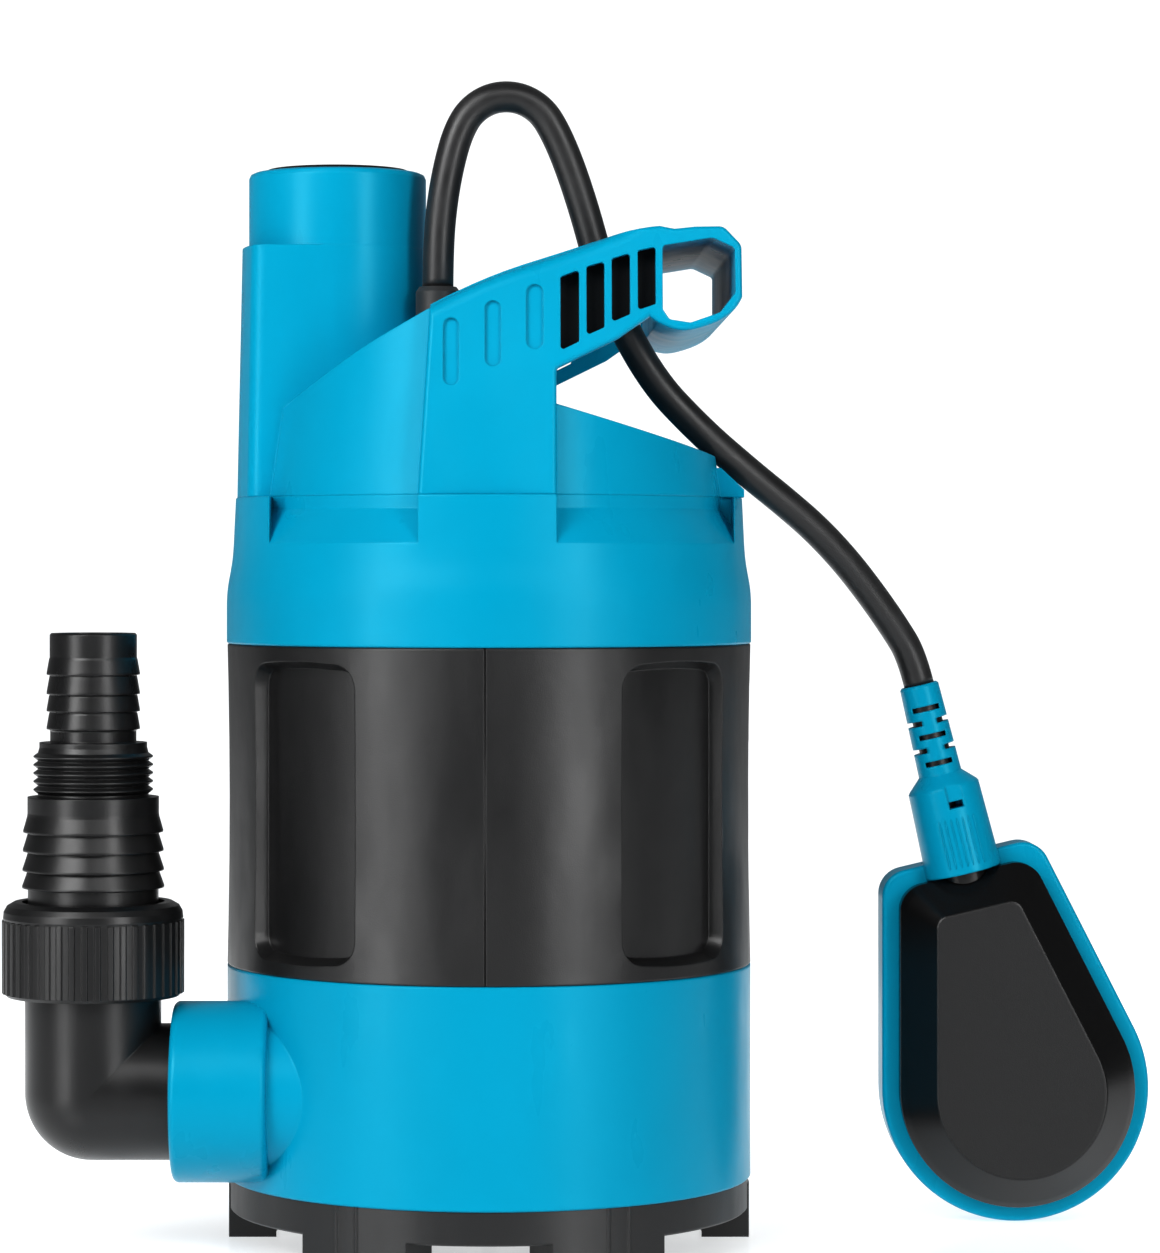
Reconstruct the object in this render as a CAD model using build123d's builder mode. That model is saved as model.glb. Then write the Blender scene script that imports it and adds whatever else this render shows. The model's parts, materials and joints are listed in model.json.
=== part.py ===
"""Submersible dirty-water pump with a side outlet, hose adapter and float switch.

Frame: millimetres, +Z up, origin on the pump axis in the plane of the feet.
-Y is the front, where the side outlet sits nearer, and +X is the float side.
"""
from build123d import *
import os
from math import cos, pi, radians, sin, tan

# ---- driving dimensions: heights of the stacked body ----
Z_BASE_RING = 8.0
Z_CASING = 17.3
Z_SLEEVE = 78.0
Z_SHROUD = 169.4
Z_SEAM = 211.0

# ---- body shell ----
BODY_R = 75.0
BODY_IN_R = 72.0
SPIGOT_IN_R = 69.0
SPIGOT_LENGTH = 5.0
SPIGOT_GAP = 0.2
SEAM_CHAMFER = 0.4
BASE_R = 74.2
WAIST_DEPTH = 0.6

# ---- side outlet ----
OUTLET_Y = -33.0
OUTLET_Z = 44.7
COLLAR_R = 25.2
COLLAR_X = (-87.9, -61.1)
NECK_R = 22.0
COLLAR_BORE_R = 20.65
OUTLET_BORE_R = 16.0
STUB_R = 17.5
STUB_END_X = -66.0
OUTLET_PLANE = Plane(origin=(0.0, OUTLET_Y, OUTLET_Z), x_dir=(0, 0, 1), z_dir=(0, 1, 0))

# ---- elbow, union nut and hose adapter ----
RISER_X = -110.5
ELBOW_R = 19.0
ELBOW_BORE_R = 15.5
ELBOW_THREAD_R = 20.6
UNION_THREAD_R = 21.5
NUT_R = 25.3
NUT_MOUTH_R = 19.9
NUT_Z = (71.6, 97.9)
NUT_GROOVES = 44
G1_THREAD_R = 16.65
G1_ROOT_R = 15.4
G1_PITCH = 2.309
ADAPTER_TOP = 172.8
ADAPTER_BORE_R = 10.0

# ---- head ----
HEAD_WALL_R = 67.0
HEAD_WALL_TAPER = 8.0
HEAD_FACE_R = 72.6
HEAD_FACE_Y = 70.0
LEAN = 8.2
ARM_THICKNESS = 5.0
EDGE_ROUND = 1.2
TOP_ROLL = 4.0
CORE_DEPTH = 4.5
BLOCK_X = (-19.1, 18.5)
TOWER_X = -43.5
TOWER_R = 27.0
TOWER_RING_R = 25.4
TOWER_STEP_Z = 282.0
TOWER_TOP_Z = 304.0
TOWER_THREAD_R = 20.9
TOWER_BORE_R = 18.0
PLUG_R = 20.85
GLAND_X = -14.4
GLAND_Y = 19.0
GLAND_R = 6.3
GLAND_Z = (246.0, 270.4)
GLAND_SHOULDER_Z = 262.0

# ---- cables ----
CABLE_R = 4.4
CORE_R = 1.3

# ---- motor and hydraulics ----
CAN_R = 43.0
CAN_IN_R = 41.8
CAN_Z = (66.0, 206.0)
SHAFT_R = 6.0
SHAFT_Z = (26.0, 167.0)
BEARING_R = 16.0
BEARING_WIDTH = 10.0
LOWER_BEARING_Z = 74.0
UPPER_BEARING_Z = 155.0
CORE_Z = (96.0, 141.0)
STATOR_IN_R = 22.5
ROTOR_R = 22.2
IMPELLER_R = 40.0
CHAMBER_R = 52.0
CHAMBER_CENTRE = (4.0, -2.0)
VOLUTE_R = 60.0
VOLUTE_Z = (27.0, 60.0)
RISER_PIPE_XY = (-53.5, -12.0)
RISER_PIPE_R = 9.0

# ---- float ----
FLOAT_Y = 18.0
FLOAT_CENTRE_X = 153.6
FLOAT_CENTRE_Z = 39.2
FLOAT_TILT = 13.5
FLOAT_R = 38.9
FLOAT_TOP = 69.4
FLOAT_CORNER_R = 8.0
FLOAT_REAR_DEPTH = 19.0
FLOAT_WALL = 2.2
RIM_INSET = 4.8
BOOT_TOP = 121.0
BALL_R = 8.0

os.makedirs("parts", exist_ok=True)

FAR = 120.0


def save(builder, name):
    """Label a finished piece and write it to its own STEP file."""
    builder.part.label = name
    export_step(builder.part, f"parts/{name}.step")


def turned(points):
    """Revolve a closed outline of (radius, height) points about the pump axis."""
    with BuildSketch(Plane.XZ) as profile:
        with BuildLine():
            Polyline(*points, close=True)
        make_face()
    revolve(profile.sketch, axis=Axis.Z)


def turned_at(points, x, y):
    """Revolve a closed (radius, height) outline about a vertical axis at x, y."""
    plane = Plane(origin=(x, y, 0), x_dir=(1, 0, 0), z_dir=(0, -1, 0))
    with BuildSketch(plane) as profile:
        with BuildLine():
            Polyline(*points, close=True)
        make_face()
    revolve(profile.sketch, axis=Axis((x, y, 0), (0, 0, 1)))


def turned_along(plane, points, round_at=(), radius=1.0):
    """Revolve a closed (radius, distance) outline about the local y axis of a plane."""
    with BuildSketch(plane) as profile:
        with BuildLine():
            Polyline(*points, close=True)
        make_face()
        if round_at:
            corners = [profile.vertices().sort_by_distance(Vector(*p))[0] for p in round_at]
            fillet(corners, radius=radius)
    revolve(profile.sketch, axis=Axis(plane.origin, plane.y_dir))


def through(points, mode=Mode.ADD):
    """Run a closed front-view outline of (x, z) points right through, front to rear."""
    with BuildSketch(Plane.XZ) as outline:
        with BuildLine():
            Polyline(*points, close=True)
        make_face()
    extrude(outline.sketch, amount=FAR, both=True, mode=mode)


def lean_y(z, inset=0.0):
    """Distance from the axis of the leaning front face at height z."""
    return HEAD_FACE_Y - inset - (z - Z_SEAM) * tan(radians(LEAN))


def lean_slab(near, far, mode):
    """Keep what lies between two insets behind the leaning front face."""
    low, high = Z_SEAM - 5.0, Z_SEAM + 90.0
    with BuildSketch(Plane.YZ) as slab:
        with BuildLine():
            Polyline(
                (-lean_y(low, near), low),
                (-lean_y(high, near), high),
                (-lean_y(high, far), high),
                (-lean_y(low, far), low),
                close=True,
            )
        make_face()
    extrude(slab.sketch, amount=FAR, both=True, mode=mode)


# ============================ strainer base ============================
FOOT_DEPTH = 13.0
FOOT_ANGLES = (-30.5, 27.0, 153.0, 210.5)
FOOT_SPANS = (13.0, 13.5, 13.5, 13.0)
FLOOR_Z = (12.0, 15.0)
BOSS_PCD_R = 66.0
BOSS_R = 5.5
SCREW_R = 1.8


def foot_direction(angle):
    """Unit vector from the axis, with the angle counted from the front (-Y)."""
    return sin(radians(angle)), -cos(radians(angle))


with BuildPart() as strainer_base:
    turned([
        (BASE_R - 4.0, Z_BASE_RING), (BASE_R - 0.5, Z_BASE_RING), (BASE_R, Z_BASE_RING + 0.5),
        (BASE_R, Z_CASING), (BASE_R - 4.0, Z_CASING),
    ])
    with BuildSketch(Plane.XY.offset(FLOOR_Z[0])):
        Circle(BASE_R - 3.0)
    extrude(amount=FLOOR_Z[1] - FLOOR_Z[0])
    # inner ring that carries the intake plate
    with BuildSketch(Plane.XY.offset(FLOOR_Z[0])):
        Circle(VOLUTE_R)
        Circle(VOLUTE_R - 3.0, mode=Mode.SUBTRACT)
    extrude(amount=24.0 - FLOOR_Z[0])
    # screw bosses
    with BuildSketch(Plane.XY.offset(FLOOR_Z[0])):
        with PolarLocations(BOSS_PCD_R, 4, 45.0):
            Circle(4.6)
    extrude(amount=24.0 - FLOOR_Z[0])
    # two front and two rear feet, and one foot at each side
    for angle, span in zip(FOOT_ANGLES, FOOT_SPANS):
        with BuildSketch(Plane.XY):
            Circle(BASE_R)
            Circle(BASE_R - FOOT_DEPTH, mode=Mode.SUBTRACT)
            dx, dy = foot_direction(angle)
            half = BASE_R * sin(radians(span))
            with Locations((dx * BASE_R, dy * BASE_R)):
                Rectangle(BASE_R, 2.0 * half, rotation=angle - 90.0, mode=Mode.INTERSECT)
        extrude(amount=FLOOR_Z[1])
    for side in (-1.0, 1.0):
        with BuildSketch(Plane.XY):
            Circle(BASE_R + 0.4)
            Circle(BASE_R - FOOT_DEPTH, mode=Mode.SUBTRACT)
            with Locations((side * BASE_R, 0.0)):
                Rectangle(30.0, 16.0, mode=Mode.INTERSECT)
        extrude(amount=FLOOR_Z[1])
    # each foot is a hollow box, open below
    for angle in FOOT_ANGLES:
        dx, dy = foot_direction(angle)
        with BuildSketch(Plane.XY):
            with Locations((dx * (BASE_R - 6.8), dy * (BASE_R - 6.8))):
                Rectangle(7.4, 24.0, rotation=angle - 90.0)
        extrude(amount=9.0, mode=Mode.SUBTRACT)
    # upright ribs on the faces of the front and rear feet
    for angle in (-34.0, -29.0, 26.0, 31.0, 149.0, 154.0, 209.0, 214.0):
        dx, dy = foot_direction(angle)
        with BuildSketch(Plane.XY):
            with Locations((dx * BASE_R, dy * BASE_R)):
                Circle(0.55)
        extrude(amount=Z_CASING)
    # intake slots through the floor
    with BuildSketch(Plane.XY.offset(FLOOR_Z[0])):
        with PolarLocations(38.0, 20):
            SlotOverall(28.0, 4.5)
    extrude(amount=FLOOR_Z[1] - FLOOR_Z[0], mode=Mode.SUBTRACT)
    with BuildSketch(Plane.XY.offset(FLOOR_Z[0])):
        with PolarLocations(BOSS_PCD_R, 4, 45.0):
            Circle(SCREW_R)
    extrude(amount=24.0 - FLOOR_Z[0], mode=Mode.SUBTRACT)
    # countersunk seats for the screw heads
    with BuildSketch(Plane.XY):
        with PolarLocations(BOSS_PCD_R, 4, 45.0):
            Circle(3.6)
    extrude(amount=FLOOR_Z[0] + 1.5, mode=Mode.SUBTRACT)
save(strainer_base, "strainer_base")

# ============================ intake plate and volute ============================
INTAKE_EYE_R = 19.0
SEAL_HOLE_R = 14.0

with BuildPart() as intake_plate:
    turned([
        (INTAKE_EYE_R, 24.0), (VOLUTE_R, 24.0), (VOLUTE_R, VOLUTE_Z[0]),
        (INTAKE_EYE_R + 2.0, VOLUTE_Z[0]), (INTAKE_EYE_R, 25.5),
    ])
save(intake_plate, "intake_plate")

with BuildPart() as volute:
    with BuildSketch(Plane.XY.offset(VOLUTE_Z[0])):
        Circle(VOLUTE_R)
    extrude(amount=VOLUTE_Z[1] - VOLUTE_Z[0])
    with BuildSketch(Plane.YZ.offset(STUB_END_X)):
        with Locations((OUTLET_Y, OUTLET_Z)):
            Circle(STUB_R)
    extrude(amount=16.0)
    with BuildSketch(Plane.XY.offset(VOLUTE_Z[0])):
        with Locations(CHAMBER_CENTRE):
            Circle(CHAMBER_R)
    extrude(amount=VOLUTE_Z[1] - VOLUTE_Z[0] - 3.0, mode=Mode.SUBTRACT)
    with BuildSketch(Plane.YZ.offset(STUB_END_X)):
        with Locations((OUTLET_Y, OUTLET_Z)):
            Circle(ELBOW_BORE_R - 3.5)
    extrude(amount=60.0, mode=Mode.SUBTRACT)
    with BuildSketch(Plane.XY.offset(VOLUTE_Z[0])):
        Circle(SEAL_HOLE_R)
        with Locations(RISER_PIPE_XY):
            Circle(RISER_PIPE_R - 1.5)
    extrude(amount=VOLUTE_Z[1] - VOLUTE_Z[0], mode=Mode.SUBTRACT)
save(volute, "volute")

with BuildPart() as impeller:
    turned([
        (SHAFT_R, 30.0), (11.0, 30.0), (13.0, 44.0), (IMPELLER_R, 44.0),
        (IMPELLER_R, 46.5), (11.0, 46.5), (11.0, 50.0), (SHAFT_R, 50.0),
    ])
    with BuildSketch(Plane.XY.offset(31.0)):
        for number in range(6):
            turn = 60.0 * number
            inner = Vector(12.0, 0.0, 0.0).rotate(Axis.Z, turn)
            middle = Vector(24.0, 0.0, 0.0).rotate(Axis.Z, turn + 22.0)
            outer = Vector(IMPELLER_R - 0.8, 0.0, 0.0).rotate(Axis.Z, turn + 58.0)
            with BuildLine():
                vane = ThreePointArc(inner, middle, outer)
                offset(vane, amount=1.2)
            make_face()
    extrude(amount=13.5)
save(impeller, "impeller")

with BuildPart() as impeller_nut:
    with BuildSketch(Plane.XY.offset(24.5)):
        RegularPolygon(radius=9.0, side_count=6)
        Circle(4.0, mode=Mode.SUBTRACT)
    extrude(amount=5.5)
save(impeller_nut, "impeller_nut")

with BuildPart() as shaft:
    turned([
        (0.0, 24.0), (4.0, 24.0), (4.0, 30.0), (SHAFT_R, 30.0),
        (SHAFT_R, SHAFT_Z[1] - 1.0), (SHAFT_R - 1.0, SHAFT_Z[1]), (0.0, SHAFT_Z[1]),
    ])
save(shaft, "shaft")

# ============================ pump casing with its side outlet ============================
with BuildPart() as pump_casing:
    turned([
        (BODY_IN_R, Z_CASING), (BODY_R - SEAM_CHAMFER, Z_CASING), (BODY_R, Z_CASING + SEAM_CHAMFER),
        (BODY_R, Z_SLEEVE - SEAM_CHAMFER), (BODY_R - SEAM_CHAMFER, Z_SLEEVE), (BODY_IN_R, Z_SLEEVE),
    ])
    # neck and collar of the side outlet
    with BuildSketch(Plane.YZ.offset(COLLAR_X[0] + 8.0)):
        with Locations((OUTLET_Y, OUTLET_Z)):
            Circle(NECK_R)
    extrude(amount=37.0)
    turned_along(
        OUTLET_PLANE,
        [(0.0, COLLAR_X[0]), (COLLAR_R, COLLAR_X[0]), (COLLAR_R, COLLAR_X[1]), (0.0, COLLAR_X[1])],
        round_at=[(COLLAR_R, COLLAR_X[1]), (COLLAR_R, COLLAR_X[0])],
        radius=1.8,
    )
    with BuildSketch(Plane.XY.offset(Z_CASING)):
        Circle(BODY_IN_R)
    extrude(amount=Z_SLEEVE - Z_CASING, mode=Mode.SUBTRACT)
    # screw bosses inside the wall
    with BuildSketch(Plane.XY.offset(24.0)):
        with PolarLocations(BOSS_PCD_R, 4, 45.0):
            Circle(BOSS_R + 1.0)
        Circle(VOLUTE_R + 0.3, mode=Mode.SUBTRACT)
        Circle(BODY_IN_R + 1.0, mode=Mode.INTERSECT)
    extrude(amount=16.0)
    # socket for the volute's stub, water way, and the threaded mouth
    with BuildSketch(Plane.YZ.offset(STUB_END_X)):
        with Locations((OUTLET_Y, OUTLET_Z)):
            Circle(STUB_R + 0.1)
    extrude(amount=50.0, mode=Mode.SUBTRACT)
    with BuildSketch(Plane.YZ.offset(COLLAR_X[0])):
        with Locations((OUTLET_Y, OUTLET_Z)):
            Circle(OUTLET_BORE_R)
    extrude(amount=40.0, mode=Mode.SUBTRACT)
    with BuildSketch(Plane.YZ.offset(COLLAR_X[0])):
        with Locations((OUTLET_Y, OUTLET_Z)):
            Circle(COLLAR_BORE_R)
    extrude(amount=18.5, mode=Mode.SUBTRACT)
    with BuildSketch(Plane.XY.offset(24.0)):
        with PolarLocations(BOSS_PCD_R, 4, 45.0):
            Circle(SCREW_R)
    extrude(amount=14.0, mode=Mode.SUBTRACT)
save(pump_casing, "pump_casing")

# ============================ middle sleeve with grip pockets ============================
POCKET_HALF_ANGLE = 15.8
POCKET_Z = (83.2, 164.0)
POCKET_FLOOR_R = 70.6
POCKET_CORNER_R = 6.0
POCKET_DRAFT = 24.0
PAD_IN_R = 67.4

with BuildPart() as pocket_cutter:
    for azimuth in (45.0, 135.0, 225.0, 315.0):
        outward = Vector(cos(radians(azimuth)), sin(radians(azimuth)), 0.0)
        across = Vector(-sin(radians(azimuth)), cos(radians(azimuth)), 0.0)
        floor_plane = Plane(
            origin=outward * 66.0 + Vector(0, 0, sum(POCKET_Z) / 2.0), x_dir=across, z_dir=outward
        )
        spread = 2.0 * 6.0 * tan(radians(POCKET_DRAFT))
        with BuildSketch(floor_plane):
            RectangleRounded(
                2.0 * BODY_R * sin(radians(POCKET_HALF_ANGLE)) - spread,
                POCKET_Z[1] - POCKET_Z[0] - spread,
                POCKET_CORNER_R - 2.6,
            )
        extrude(amount=14.0, taper=-POCKET_DRAFT)
    with BuildSketch(Plane.XY.offset(Z_SLEEVE)):
        Circle(POCKET_FLOOR_R)
    extrude(amount=Z_SHROUD - Z_SLEEVE, mode=Mode.SUBTRACT)

with BuildPart() as mid_sleeve:
    with BuildSketch(Plane.XZ):
        with BuildLine():
            Polyline(
                (BODY_R - SEAM_CHAMFER, Z_SLEEVE), (SPIGOT_IN_R, Z_SLEEVE),
                (SPIGOT_IN_R, Z_SHROUD), (BODY_R - SEAM_CHAMFER, Z_SHROUD),
                (BODY_R, Z_SHROUD - SEAM_CHAMFER),
            )
            ThreePointArc(
                (BODY_R, Z_SHROUD - SEAM_CHAMFER),
                (BODY_R - WAIST_DEPTH, (Z_SHROUD + Z_SLEEVE) / 2.0),
                (BODY_R, Z_SLEEVE + SEAM_CHAMFER),
            )
            Line((BODY_R, Z_SLEEVE + SEAM_CHAMFER), (BODY_R - SEAM_CHAMFER, Z_SLEEVE))
        make_face()
    revolve(axis=Axis.Z)
    # spigots that register in the casing and the shroud
    turned([
        (SPIGOT_IN_R, Z_SLEEVE - SPIGOT_LENGTH), (BODY_IN_R - SPIGOT_GAP, Z_SLEEVE - SPIGOT_LENGTH),
        (BODY_IN_R - SPIGOT_GAP, Z_SHROUD + SPIGOT_LENGTH), (SPIGOT_IN_R, Z_SHROUD + SPIGOT_LENGTH),
    ])
    # pads behind the pockets
    with BuildSketch(Plane.XY.offset(POCKET_Z[0] - 3.0)):
        Circle(SPIGOT_IN_R + 1.0)
        Circle(PAD_IN_R, mode=Mode.SUBTRACT)
        with PolarLocations(BODY_R, 4, 45.0):
            Rectangle(40.0, 46.0, mode=Mode.INTERSECT)
    extrude(amount=POCKET_Z[1] - POCKET_Z[0] + 6.0)
    add(pocket_cutter.part, mode=Mode.SUBTRACT)
    # fine parting lines of the two mould halves
    with BuildSketch(Plane.XY.offset(Z_SLEEVE)):
        with Locations((-0.9, -BODY_R), (-0.9, BODY_R)):
            Rectangle(0.35, 1.6)
    extrude(amount=Z_SHROUD - Z_SLEEVE, mode=Mode.SUBTRACT)
save(mid_sleeve, "mid_sleeve")

# ============================ upper shroud ============================
SHROUD_POCKETS = ((-60.9, BLOCK_X[0]), (BLOCK_X[1], 69.0))
POCKET_SHELF_Z = 207.4
POCKET_LOW_Z = 187.2

with BuildPart() as shroud_cutter:
    turned([
        (HEAD_WALL_R, Z_SEAM + 1.0), (HEAD_WALL_R, POCKET_SHELF_Z),
        (80.0, POCKET_LOW_Z), (80.0, Z_SEAM + 1.0),
    ])
    with BuildSketch(Plane.XY.offset(POCKET_LOW_Z)):
        for low, high in SHROUD_POCKETS:
            with Locations(((low + high) / 2.0, 0.0)):
                Rectangle(high - low, 2.0 * BODY_R)
        Rectangle(2.0 * BODY_R, 24.0, mode=Mode.SUBTRACT)
    extrude(amount=30.0, mode=Mode.INTERSECT)

with BuildPart() as upper_shroud:
    with BuildSketch(Plane.XZ):
        with BuildLine():
            Polyline(
                (75.2, 180.0), (75.2, Z_SHROUD + SEAM_CHAMFER), (74.8, Z_SHROUD),
                (BODY_IN_R, Z_SHROUD), (BODY_IN_R, 184.0), (64.0, 197.0),
                (64.0, Z_SEAM), (72.3, Z_SEAM), (72.6, Z_SEAM - 0.3), (73.2, 198.0),
            )
            Bezier((73.2, 198.0), (73.6, 189.0), (75.2, 188.0), (75.2, 180.0))
        make_face()
    revolve(axis=Axis.Z)
    add(shroud_cutter.part, mode=Mode.SUBTRACT)
save(upper_shroud, "upper_shroud")

# ============================ head cover ============================
ARM_TOP = [
    (-15.9, 263.0), (-8.0, 267.0), (4.2, 272.2), (16.2, 276.2), (26.8, 279.6), (37.0, 282.8), (46.7, 284.5),
]
GRIP_TOP = [(46.7, 284.5), (50.8, 283.7), (56.5, 284.3), (64.2, 284.4), (69.1, 279.2), (69.2, 264.9)]
GRIP_BELOW = [(69.2, 264.9), (65.4, 259.9), (57.6, 256.4), (53.8, 255.7), (48.5, 256.8), (44.0, 259.5)]
GRIP_INNER = [
    (47.5, 279.0), (60.6, 281.1), (61.6, 281.0), (67.2, 278.4), (67.3, 266.0), (63.1, 260.6),
    (55.0, 257.8), (49.3, 258.7), (47.5, 261.4),
]
GRIP_LEFT_X = 46.0
ARM_BELOW = [(44.0, 259.5), (35.3, 253.4), (18.5, 245.2)]
# the roll of the top edge leaves the face towards the grip, where it fades out
ROLL_LINE = [
    (-24.0, 258.6), (-15.9, 263.0), (-8.0, 267.0), (4.2, 272.2), (16.2, 276.2), (26.8, 279.8),
    (37.0, 284.0), (46.0, 289.5),
]
SLOTS = [
    ((19.6, 250.1), (24.7, 252.6), (24.7, 272.3), (19.6, 270.4)),
    ((26.7, 254.3), (31.6, 256.5), (31.6, 274.6), (26.7, 273.2)),
    ((33.6, 257.9), (38.6, 260.1), (38.6, 276.9), (33.6, 275.4)),
    ((40.7, 261.2), (45.6, 262.9), (45.6, 278.7), (40.7, 277.6)),
]
GROOVES = [(-10.2, 240.7, 259.1, 4.2), (1.2, 245.9, 263.8, 4.3), (12.6, 250.6, 268.3, 4.6)]
GROOVE_DEPTH = 0.9

FACE_PLANE = Plane(
    origin=(0.0, -HEAD_FACE_Y, Z_SEAM), x_dir=(1, 0, 0),
    z_dir=(0.0, -cos(radians(LEAN)), sin(radians(LEAN))),
)


def on_face(edge):
    """Whether an edge lies on the leaning front face."""
    return all(abs(point.Y + lean_y(point.Z)) < 0.01 for point in (edge @ 0, edge @ 0.5, edge @ 1))


def corners_at(sketch, places):
    """The corners of a sketch that are nearest to the given places."""
    return [sketch.vertices().sort_by_distance(Vector(*place))[0] for place in places]


# quarter-round cutter that runs along the top edge of the front face
with BuildPart() as top_roll:
    with BuildLine() as roll_path:
        Spline(*[
            FACE_PLANE.from_local_coords((x, (z - Z_SEAM) / cos(radians(LEAN)), 0.0)) for x, z in ROLL_LINE
        ])
    roll_wire = roll_path.wires()[0]
    section_plane = Plane(origin=roll_wire @ 0, x_dir=-FACE_PLANE.z_dir, z_dir=roll_wire % 0)
    with BuildSketch(section_plane) as roll_section:
        with BuildLine():
            Polyline((TOP_ROLL, 0.0), (TOP_ROLL, 6.0), (-3.0, 6.0), (-3.0, -TOP_ROLL), (0.0, -TOP_ROLL))
            RadiusArc((0.0, -TOP_ROLL), (TOP_ROLL, 0.0), TOP_ROLL)
        make_face()
    sweep(roll_section.sketch, path=roll_wire)

# front view of the block, the arms and the grip in one outline
with BuildSketch(Plane.XZ) as front_outline:
    with BuildLine():
        Spline(*ARM_TOP)
        Polyline(*GRIP_TOP)
        Spline(*GRIP_BELOW)
        Polyline(*ARM_BELOW, (BLOCK_X[1], Z_SEAM), (BLOCK_X[0], Z_SEAM), ARM_TOP[0])
    make_face()
    fillet(corners_at(front_outline, GRIP_TOP[3:5]), radius=3.0)
    fillet(corners_at(front_outline, ARM_BELOW[2:]), radius=1.5)

with BuildPart() as arm_pair:
    extrude(front_outline.sketch, amount=FAR, both=True)
    lean_slab(0.0, ARM_THICKNESS, Mode.INTERSECT)
    fillet([e for e in arm_pair.edges() if on_face(e) and e.center().Z > Z_SEAM + 1.0], radius=EDGE_ROUND)
    add(top_roll.part, mode=Mode.SUBTRACT)
    for slot in SLOTS:
        with BuildSketch(Plane.XZ):
            with BuildLine():
                Polyline(*slot, close=True)
            slot_face = make_face()
            fillet(slot_face.vertices(), radius=0.8)
        extrude(amount=FAR, both=True, mode=Mode.SUBTRACT)
    mirror(about=Plane.XZ)

with BuildPart() as grip_tube:
    extrude(front_outline.sketch, amount=FAR, both=True)
    lean_slab(CORE_DEPTH, 2.0 * HEAD_FACE_R, Mode.INTERSECT)
    split(bisect_by=Plane.YZ.offset(GRIP_LEFT_X), keep=Keep.TOP)
    split(bisect_by=Plane.XZ, keep=Keep.TOP)
    mirror(about=Plane.XZ)

with BuildPart() as cable_block:
    extrude(front_outline.sketch, amount=FAR, both=True)
    lean_slab(CORE_DEPTH, 2.0 * HEAD_FACE_R, Mode.INTERSECT)
    split(bisect_by=Plane.YZ.offset(BLOCK_X[1]), keep=Keep.BOTTOM)
    split(bisect_by=Plane.XZ, keep=Keep.TOP)
    mirror(about=Plane.XZ)

with BuildPart() as groove_cutter:
    for centre_x, low, high, width in GROOVES:
        with BuildSketch(Plane.XZ):
            with Locations((centre_x, (low + high) / 2.0)):
                SlotOverall(high - low, width, rotation=90.0)
        extrude(amount=FAR, both=True)
    lean_slab(-1.0, GROOVE_DEPTH, Mode.INTERSECT)
    mirror(about=Plane.XZ)

with BuildPart() as tower:
    with BuildSketch(Plane.XY.offset(Z_SEAM)):
        with Locations((TOWER_X - TOWER_R / 2.0 - 4.0, 0.0)):
            Rectangle(TOWER_R + 8.0, 2.0 * TOWER_R)
        Circle(HEAD_FACE_R - 0.4, mode=Mode.INTERSECT)
        with Locations((TOWER_X, 0.0)):
            Circle(TOWER_R)
    extrude(amount=TOWER_STEP_Z - Z_SEAM, taper=1.2)
    corners = tower.edges().filter_by(
        lambda e: e.center().X < -62.0 and e.length > 50.0 and abs(e.center().Y) > 10.0
    )
    fillet(corners, radius=4.5)
    turned_at([
        (0.0, TOWER_STEP_Z - 2.0), (TOWER_RING_R, TOWER_STEP_Z - 2.0), (TOWER_RING_R, TOWER_TOP_Z - 1.6),
        (TOWER_RING_R - 0.5, TOWER_TOP_Z - 0.5), (TOWER_RING_R - 1.6, TOWER_TOP_Z), (0.0, TOWER_TOP_Z),
    ], TOWER_X, 0.0)

TROUGH_HALF = 11.0
TROUGH_DEPTH = 5.2
LEFT_DECK = [(-68.0, 226.0), (-58.0, 235.6), (-47.7, 242.9), (-33.8, 252.2), (-24.0, 257.8), (-16.4, 262.0)]
RIGHT_DECK = [(64.8, 222.5), (66.6, 221.0), (67.6, 218.0), (67.6, Z_SEAM)]

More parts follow.
